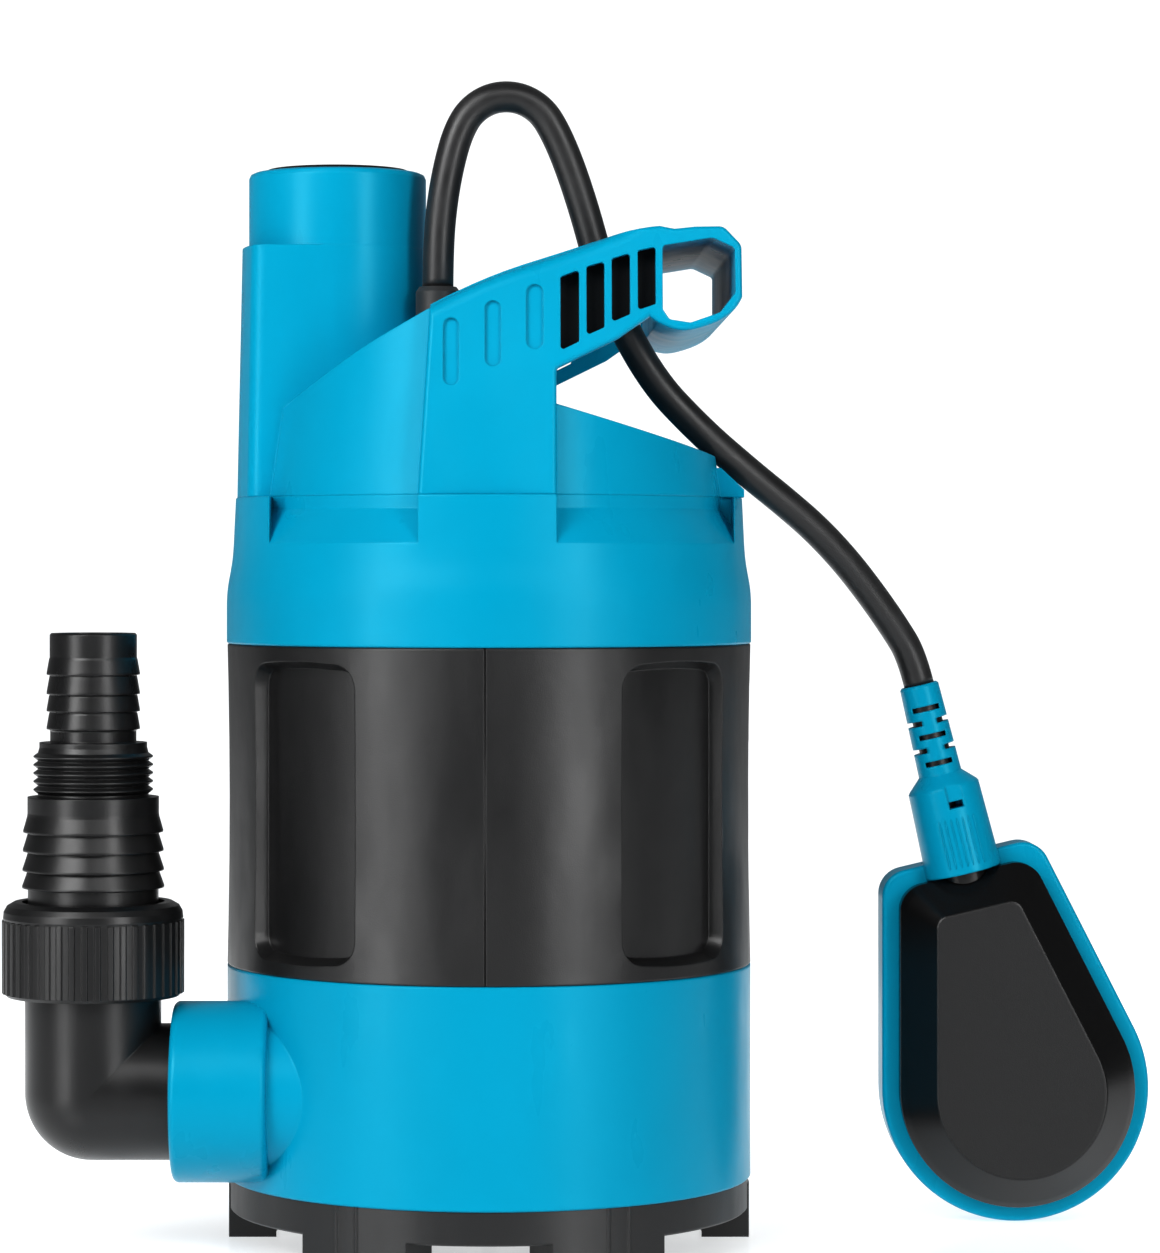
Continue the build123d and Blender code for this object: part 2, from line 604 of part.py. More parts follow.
with BuildPart() as head_cover:
    with BuildSketch(Plane.XZ) as deck_outline:
        with BuildLine():
            Spline(*LEFT_DECK)
            Polyline(LEFT_DECK[-1], (-10.0, 262.0), (18.0, 236.0), *RIGHT_DECK, (-68.0, Z_SEAM), LEFT_DECK[0])
        make_face()
    extrude(deck_outline.sketch, amount=FAR, both=True)
    with BuildSketch(Plane.XY.offset(Z_SEAM)):
        Circle(HEAD_WALL_R)
    extrude(amount=60.0, taper=HEAD_WALL_TAPER, mode=Mode.INTERSECT)
    # right lug of the seam flange, with its gusset
    with BuildSketch(Plane.XZ):
        with BuildLine():
            Polyline(
                (58.0, Z_SEAM), (HEAD_FACE_R, Z_SEAM), (HEAD_FACE_R, Z_SEAM + 2.2),
                (66.0, Z_SEAM + 8.4), (58.0, Z_SEAM + 8.4), close=True,
            )
        make_face()
    extrude(amount=13.0, both=True)
    # cable guide over the right rim
    with BuildSketch(Plane.XZ):
        with BuildLine():
            Polyline(
                (40.0, 229.6), (64.8, 222.5 - TROUGH_DEPTH), (74.0, 210.5 + TROUGH_DEPTH),
                (74.0, 230.0), (40.0, 230.0), close=True,
            )
        make_face()
    extrude(amount=TROUGH_HALF, both=True, mode=Mode.SUBTRACT)
    add(cable_block.part)
    add(arm_pair.part)
    add(grip_tube.part)
    add(tower.part)
    add(groove_cutter.part, mode=Mode.SUBTRACT)
    # the grip tube is open from end to end
    with BuildSketch(Plane.XZ):
        with BuildLine():
            Polyline(*GRIP_INNER, close=True)
        bore_face = make_face()
        fillet(bore_face.vertices(), radius=1.2)
    extrude(amount=FAR, both=True, mode=Mode.SUBTRACT)
    # hollow inside: behind the block, and under the two decks
    with BuildSketch(Plane.XZ):
        with BuildLine():
            Polyline(
                (-19.8, Z_SEAM), (14.5, Z_SEAM), (14.5, 268.0), (-2.0, 262.0),
                (-10.0, 254.0), (-19.8, 246.0), close=True,
            )
        make_face()
    extrude(amount=54.0, both=True, mode=Mode.SUBTRACT)
    with BuildSketch(Plane.XZ):
        with BuildLine():
            Polyline((14.0, Z_SEAM), (56.0, Z_SEAM), (56.0, 214.0), (14.0, 229.0), close=True)
        make_face()
    extrude(amount=34.0, both=True, mode=Mode.SUBTRACT)
    for side in (-1.0, 1.0):
        with BuildSketch(Plane.XZ.offset(side * 36.5)):
            with BuildLine():
                Polyline((-44.0, Z_SEAM), (-19.0, Z_SEAM), (-19.0, 246.0), (-44.0, 232.0), close=True)
            make_face()
        extrude(amount=7.5, both=True, mode=Mode.SUBTRACT)
    # tower: threaded mouth, water way and the hole for the riser pipe
    with BuildSketch(Plane.XY.offset(TOWER_TOP_Z)):
        with Locations((TOWER_X, 0.0)):
            Circle(TOWER_THREAD_R)
    extrude(amount=-20.0, mode=Mode.SUBTRACT)
    with BuildSketch(Plane.XY.offset(TOWER_TOP_Z)):
        with Locations((TOWER_X, 0.0)):
            Circle(TOWER_BORE_R)
    extrude(amount=216.0 - TOWER_TOP_Z, mode=Mode.SUBTRACT)
    with BuildSketch(Plane.XY.offset(Z_SEAM)):
        with Locations(RISER_PIPE_XY):
            Circle(RISER_PIPE_R)
    extrude(amount=6.0, mode=Mode.SUBTRACT)
    # seats of the two cable glands
    with BuildSketch(Plane.XY.offset(GLAND_Z[0])):
        with Locations((GLAND_X, -GLAND_Y), (GLAND_X, GLAND_Y)):
            Circle(GLAND_R - 1.0)
    extrude(amount=40.0, mode=Mode.SUBTRACT)
    with BuildSketch(Plane.XY.offset(GLAND_SHOULDER_Z)):
        with Locations((GLAND_X, -GLAND_Y), (GLAND_X, GLAND_Y)):
            Circle(GLAND_R)
    extrude(amount=10.0, mode=Mode.SUBTRACT)
save(head_cover, "head_cover")

INSERT_OUTLINE = [(18.7, 248.4), (45.9, 261.6), (45.9, 280.4), (18.7, 272.4)]
INSERT_THICKNESS = 2.4

# it closes the slots of the front arm; those of the rear arm are open
with BuildPart() as front_slot_insert:
    through(INSERT_OUTLINE)
    lean_slab(ARM_THICKNESS, ARM_THICKNESS + INSERT_THICKNESS, Mode.INTERSECT)
save(front_slot_insert, "front_slot_insert")

# ============================ tower plug ============================
with BuildPart() as outlet_plug:
    turned_at([
        (0.0, 288.0), (PLUG_R - 1.5, 288.0), (PLUG_R, 289.5), (PLUG_R, 296.0), (PLUG_R - 2.0, 296.0),
        (PLUG_R - 2.0, 299.0), (PLUG_R, 299.0), (PLUG_R, 304.2), (PLUG_R - 0.8, 305.0), (0.0, 305.0),
    ], TOWER_X, 0.0)
    with BuildSketch(Plane.XY.offset(305.0)):
        with Locations((TOWER_X, 0.0)):
            SlotOverall(26.0, 4.0)
    extrude(amount=-4.0, mode=Mode.SUBTRACT)
save(outlet_plug, "outlet_plug")

with BuildPart() as plug_seal_ring:
    turned_at([
        (PLUG_R - 2.0, 296.3), (PLUG_R - 0.3, 296.3), (PLUG_R - 0.3, 298.7), (PLUG_R - 2.0, 298.7),
    ], TOWER_X, 0.0)
save(plug_seal_ring, "plug_seal_ring")

# ============================ cable glands and the tails under them ============================
TAIL_Z = (Z_SEAM, 244.0)

for gland_name, gland_y in (("float_cable_gland", -GLAND_Y), ("mains_cable_gland", GLAND_Y)):
    with BuildPart() as gland:
        turned_at([
            (CABLE_R, GLAND_Z[0]), (GLAND_R - 1.0, GLAND_Z[0]), (GLAND_R - 1.0, GLAND_SHOULDER_Z),
            (GLAND_R, GLAND_SHOULDER_Z),
            (GLAND_R, GLAND_Z[1] - 1.4), (GLAND_R - 1.0, GLAND_Z[1]), (CABLE_R, GLAND_Z[1]),
        ], GLAND_X, gland_y)
    save(gland, gland_name)

with BuildPart() as inner_cable_tails:
    with BuildSketch(Plane.XY.offset(TAIL_Z[0])):
        with Locations((GLAND_X, -GLAND_Y), (GLAND_X, GLAND_Y)):
            Circle(CABLE_R - 0.8)
    extrude(amount=TAIL_Z[1] - TAIL_Z[0])
save(inner_cable_tails, "inner_cable_tails")

# ============================ elbow, union nut, adapter ============================
with BuildPart() as elbow:
    with BuildSketch(Plane.YZ.offset(RISER_X)):
        with Locations((OUTLET_Y, OUTLET_Z)):
            Circle(ELBOW_R)
    extrude(amount=COLLAR_X[0] - RISER_X + 17.0)
    with BuildSketch(Plane.XY.offset(OUTLET_Z)):
        with Locations((RISER_X, OUTLET_Y)):
            Circle(ELBOW_R)
    extrude(amount=88.0 - OUTLET_Z)
    with Locations((RISER_X, OUTLET_Y, OUTLET_Z)):
        Sphere(ELBOW_R)
    with BuildSketch(Plane.YZ.offset(COLLAR_X[0] + 1.0)):
        with Locations((OUTLET_Y, OUTLET_Z)):
            Circle(ELBOW_THREAD_R)
    extrude(amount=12.0)
    with BuildSketch(Plane.XY.offset(76.0)):
        with Locations((RISER_X, OUTLET_Y)):
            Circle(UNION_THREAD_R)
    extrude(amount=12.0)
    with BuildSketch(Plane.YZ.offset(RISER_X)):
        with Locations((OUTLET_Y, OUTLET_Z)):
            Circle(ELBOW_BORE_R)
    extrude(amount=50.0, mode=Mode.SUBTRACT)
    with BuildSketch(Plane.XY.offset(OUTLET_Z)):
        with Locations((RISER_X, OUTLET_Y)):
            Circle(ELBOW_BORE_R)
    extrude(amount=50.0, mode=Mode.SUBTRACT)
    with Locations((RISER_X, OUTLET_Y, OUTLET_Z)):
        Sphere(ELBOW_BORE_R, mode=Mode.SUBTRACT)
save(elbow, "elbow")

ELBOW_RING_X = COLLAR_X[0] + 13.2
with BuildPart() as elbow_seal_ring:
    with BuildSketch(Plane.YZ.offset(ELBOW_RING_X)):
        with Locations((OUTLET_Y, OUTLET_Z)):
            Circle(ELBOW_THREAD_R - 0.3)
            Circle(ELBOW_R, mode=Mode.SUBTRACT)
    extrude(amount=2.0)
save(elbow_seal_ring, "elbow_seal_ring")

with BuildPart() as union_nut:
    turned_at([
        (UNION_THREAD_R + 0.06, NUT_Z[0]), (NUT_R - 1.3, NUT_Z[0]), (NUT_R - 0.4, NUT_Z[0] + 0.9),
        (NUT_R - 0.4, 92.7), (NUT_R - 0.2, 93.4), (NUT_R - 0.4, 95.2), (NUT_R - 1.3, 96.8),
        (NUT_R - 3.2, NUT_Z[1]), (NUT_MOUTH_R, NUT_Z[1]), (NUT_MOUTH_R, 93.0), (UNION_THREAD_R + 0.06, 93.0),
    ], RISER_X, OUTLET_Y)
    with BuildSketch(Plane.XY.offset(NUT_Z[0] + 0.9)):
        with Locations((RISER_X, OUTLET_Y)):
            with PolarLocations(NUT_R - 0.55, NUT_GROOVES):
                Circle(0.95)
        with Locations((RISER_X, OUTLET_Y)):
            Circle(NUT_R + 0.1, mode=Mode.INTERSECT)
    extrude(amount=92.7 - NUT_Z[0] - 0.9)
save(union_nut, "union_nut")

BARB_ONE = [(101.8, 19.8), (106.6, 19.7), (112.0, 19.6), (117.3, 19.5)]
BARB_TWO = [(146.0, 13.0), (151.0, 13.0), (155.8, 13.0), (161.2, 13.0)]
THREAD_Z = (127.5, 140.9)


def barb_outline(barbs, root, drop):
    """Points up a barbed spigot: a sharp lip at each height, then a taper to the next."""
    points = []
    for height, tip in barbs:
        points += [(root, height - 0.2), (tip, height), (tip, height + 0.5), (root + 0.2, height + drop)]
    return points


thread_points = []
for ridge in range(int((THREAD_Z[1] - THREAD_Z[0]) / G1_PITCH)):
    ridge_z = THREAD_Z[0] + 0.5 + ridge * G1_PITCH
    thread_points += [
        (G1_ROOT_R, ridge_z), (G1_THREAD_R, ridge_z + 0.95),
        (G1_THREAD_R, ridge_z + 1.3), (G1_ROOT_R, ridge_z + 2.2),
    ]

with BuildPart() as hose_adapter:
    turned_at(
        [(15.0, 89.5), (UNION_THREAD_R - 0.3, 89.5), (UNION_THREAD_R - 0.3, 92.7), (18.2, 92.7), (18.2, 101.0)]
        + barb_outline(BARB_ONE, 18.2, 4.4)
        + [(18.3, 122.5), (18.3, THREAD_Z[0] - 0.4), (G1_ROOT_R, THREAD_Z[0])]
        + thread_points
        + [(15.0, THREAD_Z[1]), (15.0, 142.3), (12.0, 142.5), (12.0, 145.4)]
        + barb_outline(BARB_TWO, 12.15, 4.2)
        + [(12.15, 166.0), (12.15, ADAPTER_TOP - 0.5), (11.7, ADAPTER_TOP), (ADAPTER_BORE_R, ADAPTER_TOP),
           (ADAPTER_BORE_R, 138.0), (13.0, 130.0), (15.0, 118.0)],
        RISER_X, OUTLET_Y,
    )
save(hose_adapter, "hose_adapter")

with BuildPart() as adapter_gasket:
    turned_at([(15.6, 88.0), (21.0, 88.0), (21.0, 89.5), (15.6, 89.5)], RISER_X, OUTLET_Y)
save(adapter_gasket, "adapter_gasket")

# ============================ riser pipe and seals of the shell ============================
with BuildPart() as riser_pipe:
    with BuildSketch(Plane.XY.offset(VOLUTE_Z[1])):
        with Locations(RISER_PIPE_XY):
            Circle(RISER_PIPE_R)
            Circle(RISER_PIPE_R - 1.5, mode=Mode.SUBTRACT)
    extrude(amount=216.0 - VOLUTE_Z[1])
save(riser_pipe, "riser_pipe")

SHELL_SEALS = (
    ("lower_sleeve_seal", Z_SLEEVE - SPIGOT_LENGTH - 2.4, BODY_IN_R - 3.0, BODY_IN_R - 0.1),
    ("upper_sleeve_seal", Z_SHROUD + SPIGOT_LENGTH, BODY_IN_R - 3.0, BODY_IN_R - 0.1),
)
for seal_name, seal_z, seal_in, seal_out in SHELL_SEALS:
    with BuildPart() as shell_seal:
        turned([(seal_in, seal_z), (seal_out, seal_z), (seal_out, seal_z + 2.4), (seal_in, seal_z + 2.4)])
    save(shell_seal, seal_name)

# ============================ motor ============================
with BuildPart() as oil_chamber_cover:
    turned([
        (13.2, VOLUTE_Z[1]), (CAN_R + 2.0, VOLUTE_Z[1]), (CAN_R + 2.0, CAN_Z[0]), (13.2, CAN_Z[0]),
    ])
save(oil_chamber_cover, "oil_chamber_cover")

with BuildPart() as motor_can:
    turned([
        (CAN_IN_R, CAN_Z[0]), (CAN_R, CAN_Z[0]), (CAN_R, CAN_Z[1]), (CAN_IN_R, CAN_Z[1]),
    ])
save(motor_can, "motor_can")

with BuildPart() as can_cover:
    turned([
        (0.0, CAN_Z[1] - 4.0), (CAN_IN_R - 2.6, CAN_Z[1] - 4.0), (CAN_IN_R - 2.6, CAN_Z[1] - 1.6),
        (CAN_IN_R, CAN_Z[1] - 1.6), (CAN_IN_R, CAN_Z[1]), (CAN_R + 2.0, CAN_Z[1]), (CAN_R + 2.0, 209.0),
        (0.0, 209.0),
    ])
    with BuildSketch(Plane.XY.offset(209.0)):
        with Locations((GLAND_X, -GLAND_Y), (GLAND_X, GLAND_Y)):
            Circle(CABLE_R + 1.4)
    extrude(amount=Z_SEAM - 209.0)
save(can_cover, "can_cover")

with BuildPart() as can_seal_ring:
    turned([
        (CAN_IN_R - 2.5, CAN_Z[1] - 4.0), (CAN_IN_R - 0.1, CAN_Z[1] - 4.0),
        (CAN_IN_R - 0.1, CAN_Z[1] - 1.7), (CAN_IN_R - 2.5, CAN_Z[1] - 1.7),
    ])
save(can_seal_ring, "can_seal_ring")

BRACKETS = (
    ("lower_bearing_bracket", LOWER_BEARING_Z, LOWER_BEARING_Z - 8.0, LOWER_BEARING_Z + BEARING_WIDTH),
    ("upper_bearing_bracket", UPPER_BEARING_Z, UPPER_BEARING_Z - 1.5, UPPER_BEARING_Z + BEARING_WIDTH + 1.5),
)
for bracket_name, seat_z, low_z, high_z in BRACKETS:
    with BuildPart() as bracket:
        turned([
            (BEARING_R, low_z), (BEARING_R + 4.0, low_z), (BEARING_R + 4.0, seat_z + 2.0),
            (CAN_IN_R, seat_z + 2.0), (CAN_IN_R, seat_z + 6.0), (BEARING_R + 4.0, seat_z + 6.0),
            (BEARING_R + 4.0, high_z), (BEARING_R, high_z),
        ])
        with BuildSketch(Plane.XY.offset(seat_z + 2.0)):
            with PolarLocations(31.0, 6, 30.0):
                Circle(5.0)
        extrude(amount=4.0, mode=Mode.SUBTRACT)
    save(bracket, bracket_name)

RACE_STEP = 3.2
BALL_TRACK_R = 11.0
BEARING_BALL_R = 2.4
for bearing_name, low_z in (("lower_bearing", LOWER_BEARING_Z), ("upper_bearing", UPPER_BEARING_Z)):
    mid_z = low_z + BEARING_WIDTH / 2.0
    with BuildPart() as outer_ring:
        turned([
            (BEARING_R - RACE_STEP, low_z), (BEARING_R, low_z), (BEARING_R, low_z + BEARING_WIDTH),
            (BEARING_R - RACE_STEP, low_z + BEARING_WIDTH),
        ])
        with Locations((0, 0, mid_z)):
            Torus(BALL_TRACK_R, BEARING_BALL_R + 0.05, mode=Mode.SUBTRACT)
    save(outer_ring, f"{bearing_name}_outer_ring")
    with BuildPart() as inner_ring:
        turned([
            (SHAFT_R, low_z), (SHAFT_R + RACE_STEP, low_z), (SHAFT_R + RACE_STEP, low_z + BEARING_WIDTH),
            (SHAFT_R, low_z + BEARING_WIDTH),
        ])
        with Locations((0, 0, mid_z)):
            Torus(BALL_TRACK_R, BEARING_BALL_R + 0.05, mode=Mode.SUBTRACT)
    save(inner_ring, f"{bearing_name}_inner_ring")
    with BuildPart() as ball_cage:
        turned([
            (BALL_TRACK_R - 0.7, mid_z - 3.0), (BALL_TRACK_R + 0.7, mid_z - 3.0),
            (BALL_TRACK_R + 0.7, mid_z + 3.0), (BALL_TRACK_R - 0.7, mid_z + 3.0),
        ])
        with PolarLocations(BALL_TRACK_R, 8):
            with Locations((0, 0, mid_z)):
                Sphere(BEARING_BALL_R)
    save(ball_cage, f"{bearing_name}_ball_cage")

SLOT_COUNT = 12
with BuildPart() as stator_core:
    with BuildSketch(Plane.XY.offset(CORE_Z[0])):
        Circle(CAN_IN_R)
        Circle(STATOR_IN_R, mode=Mode.SUBTRACT)
        with PolarLocations(29.5, SLOT_COUNT):
            SlotOverall(11.0, 6.0, mode=Mode.SUBTRACT)
    extrude(amount=CORE_Z[1] - CORE_Z[0])
save(stator_core, "stator_core")

WINDING_END = 10.0
with BuildPart() as stator_windings:
    with BuildSketch(Plane.XY.offset(CORE_Z[0] - WINDING_END)):
        with PolarLocations(29.5, SLOT_COUNT):
            SlotOverall(10.4, 5.4)
    extrude(amount=CORE_Z[1] - CORE_Z[0] + 2.0 * WINDING_END)
    for low_z in (CORE_Z[0] - WINDING_END, CORE_Z[1] + 0.2):
        turned([
            (24.5, low_z + 1.5), (26.0, low_z), (33.0, low_z), (34.5, low_z + 1.5),
            (34.5, low_z + WINDING_END - 1.7), (33.0, low_z + WINDING_END - 0.2),
            (26.0, low_z + WINDING_END - 0.2), (24.5, low_z + WINDING_END - 1.7),
        ])
save(stator_windings, "stator_windings")

with BuildPart() as rotor_core:
    turned([
        (SHAFT_R, CORE_Z[0]), (ROTOR_R, CORE_Z[0]), (ROTOR_R, CORE_Z[1]), (SHAFT_R, CORE_Z[1]),
    ])
save(rotor_core, "rotor_core")

with BuildPart() as rotor_end_rings:
    for low_z in (CORE_Z[0] - 5.0, CORE_Z[1]):
        turned([(15.0, low_z), (21.5, low_z), (21.5, low_z + 5.0), (15.0, low_z + 5.0)])
save(rotor_end_rings, "rotor_end_rings")

# ============================ shaft seals ============================
with BuildPart() as seal_seat:
    turned([(7.5, 57.5), (13.2, 57.5), (13.2, 63.0), (7.5, 63.0)])
save(seal_seat, "seal_seat")

with BuildPart() as seal_head:
    turned([(SHAFT_R, 52.0), (8.0, 52.0), (8.0, 54.5), (11.0, 54.5), (11.0, 57.4), (SHAFT_R, 57.4)])
save(seal_head, "seal_head")

SPRING_R = 9.6
SPRING_WIRE_R = 0.6
with BuildPart() as seal_spring:
    with BuildLine():
        coil = Helix(pitch=1.6, height=3.2, radius=SPRING_R, center=(0, 0, 50.7))
    with BuildSketch(Plane(origin=coil @ 0, z_dir=coil % 0)):
        Circle(SPRING_WIRE_R)
    sweep(path=coil)
save(seal_spring, "seal_spring")

with BuildPart() as lip_seal:
    turned([(SHAFT_R + 0.05, 67.0), (BEARING_R, 67.0), (BEARING_R, 73.0), (SHAFT_R + 3.0, 73.0)])
save(lip_seal, "lip_seal")

# ============================ electrics above the motor ============================
with BuildPart() as run_capacitor:
    with BuildSketch(Plane.YZ.offset(-12.0)):
        with Locations((12.0, 184.0)):
            Circle(14.0)
    extrude(amount=40.0)
    with BuildSketch(Plane.YZ.offset(-16.0)):
        with Locations((8.0, 184.0), (16.0, 184.0)):
            Rectangle(1.0, 6.0)
    extrude(amount=4.0)
save(run_capacitor, "run_capacitor")

with BuildPart() as terminal_block:
    with Locations((8.0, -18.0, 178.0)):
        Box(32.0, 14.0, 12.0)
    with BuildSketch(Plane.XY.offset(184.0)):
        with Locations((-2.0, -18.0), (8.0, -18.0), (18.0, -18.0)):
            Circle(2.6)
    extrude(amount=-5.0, mode=Mode.SUBTRACT)
save(terminal_block, "terminal_block")

with BuildPart() as thermal_protector:
    with Locations((-28.0, -8.0, 175.5)):
        Box(8.0, 16.0, 8.0)
save(thermal_protector, "thermal_protector")

# ============================ screws ============================
with BuildPart() as base_screws:
    with BuildSketch(Plane.XY.offset(FLOOR_Z[0] + 1.5)):
        with PolarLocations(BOSS_PCD_R, 4, 45.0):
            Circle(SCREW_R)
    extrude(amount=15.0)
    with BuildSketch(Plane.XY.offset(FLOOR_Z[0] - 1.0)):
        with PolarLocations(BOSS_PCD_R, 4, 45.0):
            Circle(3.4)
            RegularPolygon(radius=1.7, side_count=6, mode=Mode.SUBTRACT)
    extrude(amount=2.5)
save(base_screws, "base_screws")

# ============================ float switch ============================
FLOAT_PLANE = Plane(
    origin=(FLOAT_CENTRE_X, FLOAT_Y, FLOAT_CENTRE_Z),
    x_dir=(cos(radians(FLOAT_TILT)), 0.0, sin(radians(FLOAT_TILT))),
    z_dir=(0.0, -1.0, 0.0),
)


def teardrop(offset_front, inset, corner=FLOAT_CORNER_R):
    """Face of the float's outline: a big circle below, straight sides to a narrower top."""
    side = radians(FLOAT_TILT)
    radius = FLOAT_R - inset
    top = FLOAT_TOP - inset
    half = radius / cos(side) - top * tan(side)
    right = (radius * cos(side), radius * sin(side))
    left = (-right[0], right[1])
    with BuildSketch(FLOAT_PLANE.offset(offset_front)) as outline:
        with BuildLine():
            Polyline(right, (half, top), (-half, top), left)
            ThreePointArc(left, (0.0, -radius), right)
        make_face()
        fillet(outline.vertices().sort_by(Axis.Y)[-2:], radius=corner)
    return outline.sketch


COVER_EDGE = 5.0
PLATEAU = 16.0
PLATEAU_INSET = 14.5
NECK_BORE_R = 8.0

with BuildPart() as float_rear_shell:
    extrude(teardrop(-FLOAT_REAR_DEPTH, 0.0), amount=FLOAT_REAR_DEPTH)
    fillet(float_rear_shell.faces().sort_by(Axis.Y)[-1].edges(), radius=6.0)
    extrude(
        teardrop(FLOAT_WALL - FLOAT_REAR_DEPTH, RIM_INSET + 1.0, FLOAT_CORNER_R - 3.0),
        amount=FLOAT_REAR_DEPTH,
        mode=Mode.SUBTRACT,
    )
    fillet(float_rear_shell.faces().sort_by(Axis.Y)[0].outer_wire().edges(), radius=1.2)
    with BuildSketch(Plane(
        origin=FLOAT_PLANE.from_local_coords((0, FLOAT_TOP - 8.0, 0)),
        x_dir=FLOAT_PLANE.x_dir, z_dir=FLOAT_PLANE.y_dir,
    )):
        Circle(NECK_BORE_R)
    extrude(amount=12.0, mode=Mode.SUBTRACT)
save(float_rear_shell, "float_rear_shell")

with BuildPart() as float_front_cover:
    extrude(teardrop(0.0, RIM_INSET), amount=COVER_EDGE)
    loft([teardrop(COVER_EDGE, RIM_INSET).face(), teardrop(COVER_EDGE + 2.0, RIM_INSET + 1.6, 7.0).face()])
    loft([
        teardrop(COVER_EDGE + 2.0, RIM_INSET + 1.6, 7.0).face(),
        teardrop(PLATEAU, PLATEAU_INSET, 4.0).face(),
    ])
    fillet(float_front_cover.faces().sort_by(Axis.Y)[0].edges(), radius=1.0)
    extrude(teardrop(0.0, RIM_INSET + 2.4, 5.5), amount=COVER_EDGE, mode=Mode.SUBTRACT)
    loft([
        teardrop(COVER_EDGE, RIM_INSET + 2.4, 5.5).face(),
        teardrop(PLATEAU - FLOAT_WALL, PLATEAU_INSET + 1.8, 2.5).face(),
    ], mode=Mode.SUBTRACT)
    with BuildSketch(Plane(
        origin=FLOAT_PLANE.from_local_coords((0, FLOAT_TOP - 14.0, 0)),
        x_dir=FLOAT_PLANE.x_dir, z_dir=FLOAT_PLANE.y_dir,
    )):
        Circle(NECK_BORE_R)
    extrude(amount=16.0, mode=Mode.SUBTRACT)
save(float_front_cover, "float_front_cover")

with BuildPart() as float_seal_ring:
    extrude(teardrop(-1.6, RIM_INSET + 1.0, 5.0), amount=1.6)
    extrude(teardrop(-1.6, RIM_INSET + 3.0, 4.0), amount=1.6, mode=Mode.SUBTRACT)
    with BuildSketch(Plane(
        origin=FLOAT_PLANE.from_local_coords((0, FLOAT_TOP - 14.0, 0)),
        x_dir=FLOAT_PLANE.x_dir, z_dir=FLOAT_PLANE.y_dir,
    )):
        Circle(NECK_BORE_R + 0.2)
    extrude(amount=16.0, mode=Mode.SUBTRACT)
save(float_seal_ring, "float_seal_ring")

# boot: strain relief of the float, its sleeve cut by slots that alternate round it
BOOT_BORE_R = CABLE_R + 0.05
BOOT_BODY_R = (10.4, 11.1)
BOOT_FRONT_Y = 65.1
BOOT_REAR_Y = FLOAT_TOP + 0.2
BOOT_SHOULDER_Y = (90.5, 94.4)
BOOT_SLOT_Y = (97.9, 105.9, 114.0)
BOOT_SIDE_SLOT_Y = (102.0, 110.0)
BOOT_SLOT_HEIGHT = 1.5
BOOT_WINDOW = (1.6, 85.3)

with BuildPart() as float_boot:
    turned_along(FLOAT_PLANE, [
        (NECK_BORE_R, BOOT_FRONT_Y), (BOOT_BODY_R[1], BOOT_FRONT_Y), (BOOT_BODY_R[0], BOOT_SHOULDER_Y[0] - 0.3),
        (BOOT_BODY_R[0] - 0.5, BOOT_SHOULDER_Y[0] + 0.4), (6.3, BOOT_SHOULDER_Y[1]), (5.7, BOOT_TOP - 0.6),
        (5.2, BOOT_TOP), (BOOT_BORE_R, BOOT_TOP), (BOOT_BORE_R, BOOT_REAR_Y), (NECK_BORE_R, BOOT_REAR_Y),
    ])
    # only the front half reaches down over the rim of the float
    with Locations(FLOAT_PLANE * Location((0, BOOT_REAR_Y - 5.0, -9.9))):
        Box(40.0, 10.0, 20.0, mode=Mode.SUBTRACT)
    for slot_y in BOOT_SLOT_Y:
        with Locations(FLOAT_PLANE * Location((0, slot_y, 5.0)), FLOAT_PLANE * Location((0, slot_y, -5.0))):
            Box(7.8, BOOT_SLOT_HEIGHT, 6.0, mode=Mode.SUBTRACT)
    for slot_y in BOOT_SIDE_SLOT_Y:
        with Locations(FLOAT_PLANE * Location((4.9, slot_y, 0)), FLOAT_PLANE * Location((-4.9, slot_y, 0))):
            Box(6.0, BOOT_SLOT_HEIGHT, 11.0, mode=Mode.SUBTRACT)
    with Locations(FLOAT_PLANE * Location((BOOT_WINDOW[0], BOOT_WINDOW[1] + 2.8, BOOT_BODY_R[0] + 1.2))):
        Box(4.6, 7.6, 4.0, mode=Mode.SUBTRACT)
    with Locations(FLOAT_PLANE * Location((*BOOT_WINDOW, 9.0))):
        Box(4.0, 2.0, 10.0, mode=Mode.SUBTRACT)
save(float_boot, "float_boot")

# bushing that carries the boot in the float's neck
BUSHING_Y = (57.5, 69.5)

with BuildPart() as float_neck_bushing:
    turned_along(FLOAT_PLANE, [
        (BOOT_BORE_R, BUSHING_Y[0]), (NECK_BORE_R - 0.1, BUSHING_Y[0]),
        (NECK_BORE_R - 0.1, BUSHING_Y[1]), (BOOT_BORE_R, BUSHING_Y[1]),
    ])
save(float_neck_bushing, "float_neck_bushing")

TRACK_PLANE = FLOAT_PLANE.offset(-2.5)
BALL_REST_Y = -12.0
with BuildPart() as ball_track:
    turned_along(TRACK_PLANE, [
        (BALL_R + 0.3, -22.0), (BALL_R + 1.8, -22.0), (BALL_R + 1.8, 11.0), (BALL_R + 0.3, 11.0),
    ])
    with BuildSketch(Plane(
        origin=TRACK_PLANE.from_local_coords((0, -22.0, 0)), x_dir=TRACK_PLANE.x_dir, z_dir=TRACK_PLANE.y_dir,
    )):
        Circle(BALL_R + 1.8)
    extrude(amount=1.6)
save(ball_track, "ball_track")

with BuildPart() as steel_ball:
    with Locations(TRACK_PLANE * Location((0, BALL_REST_Y, 0))):
        Sphere(BALL_R)
save(steel_ball, "steel_ball")

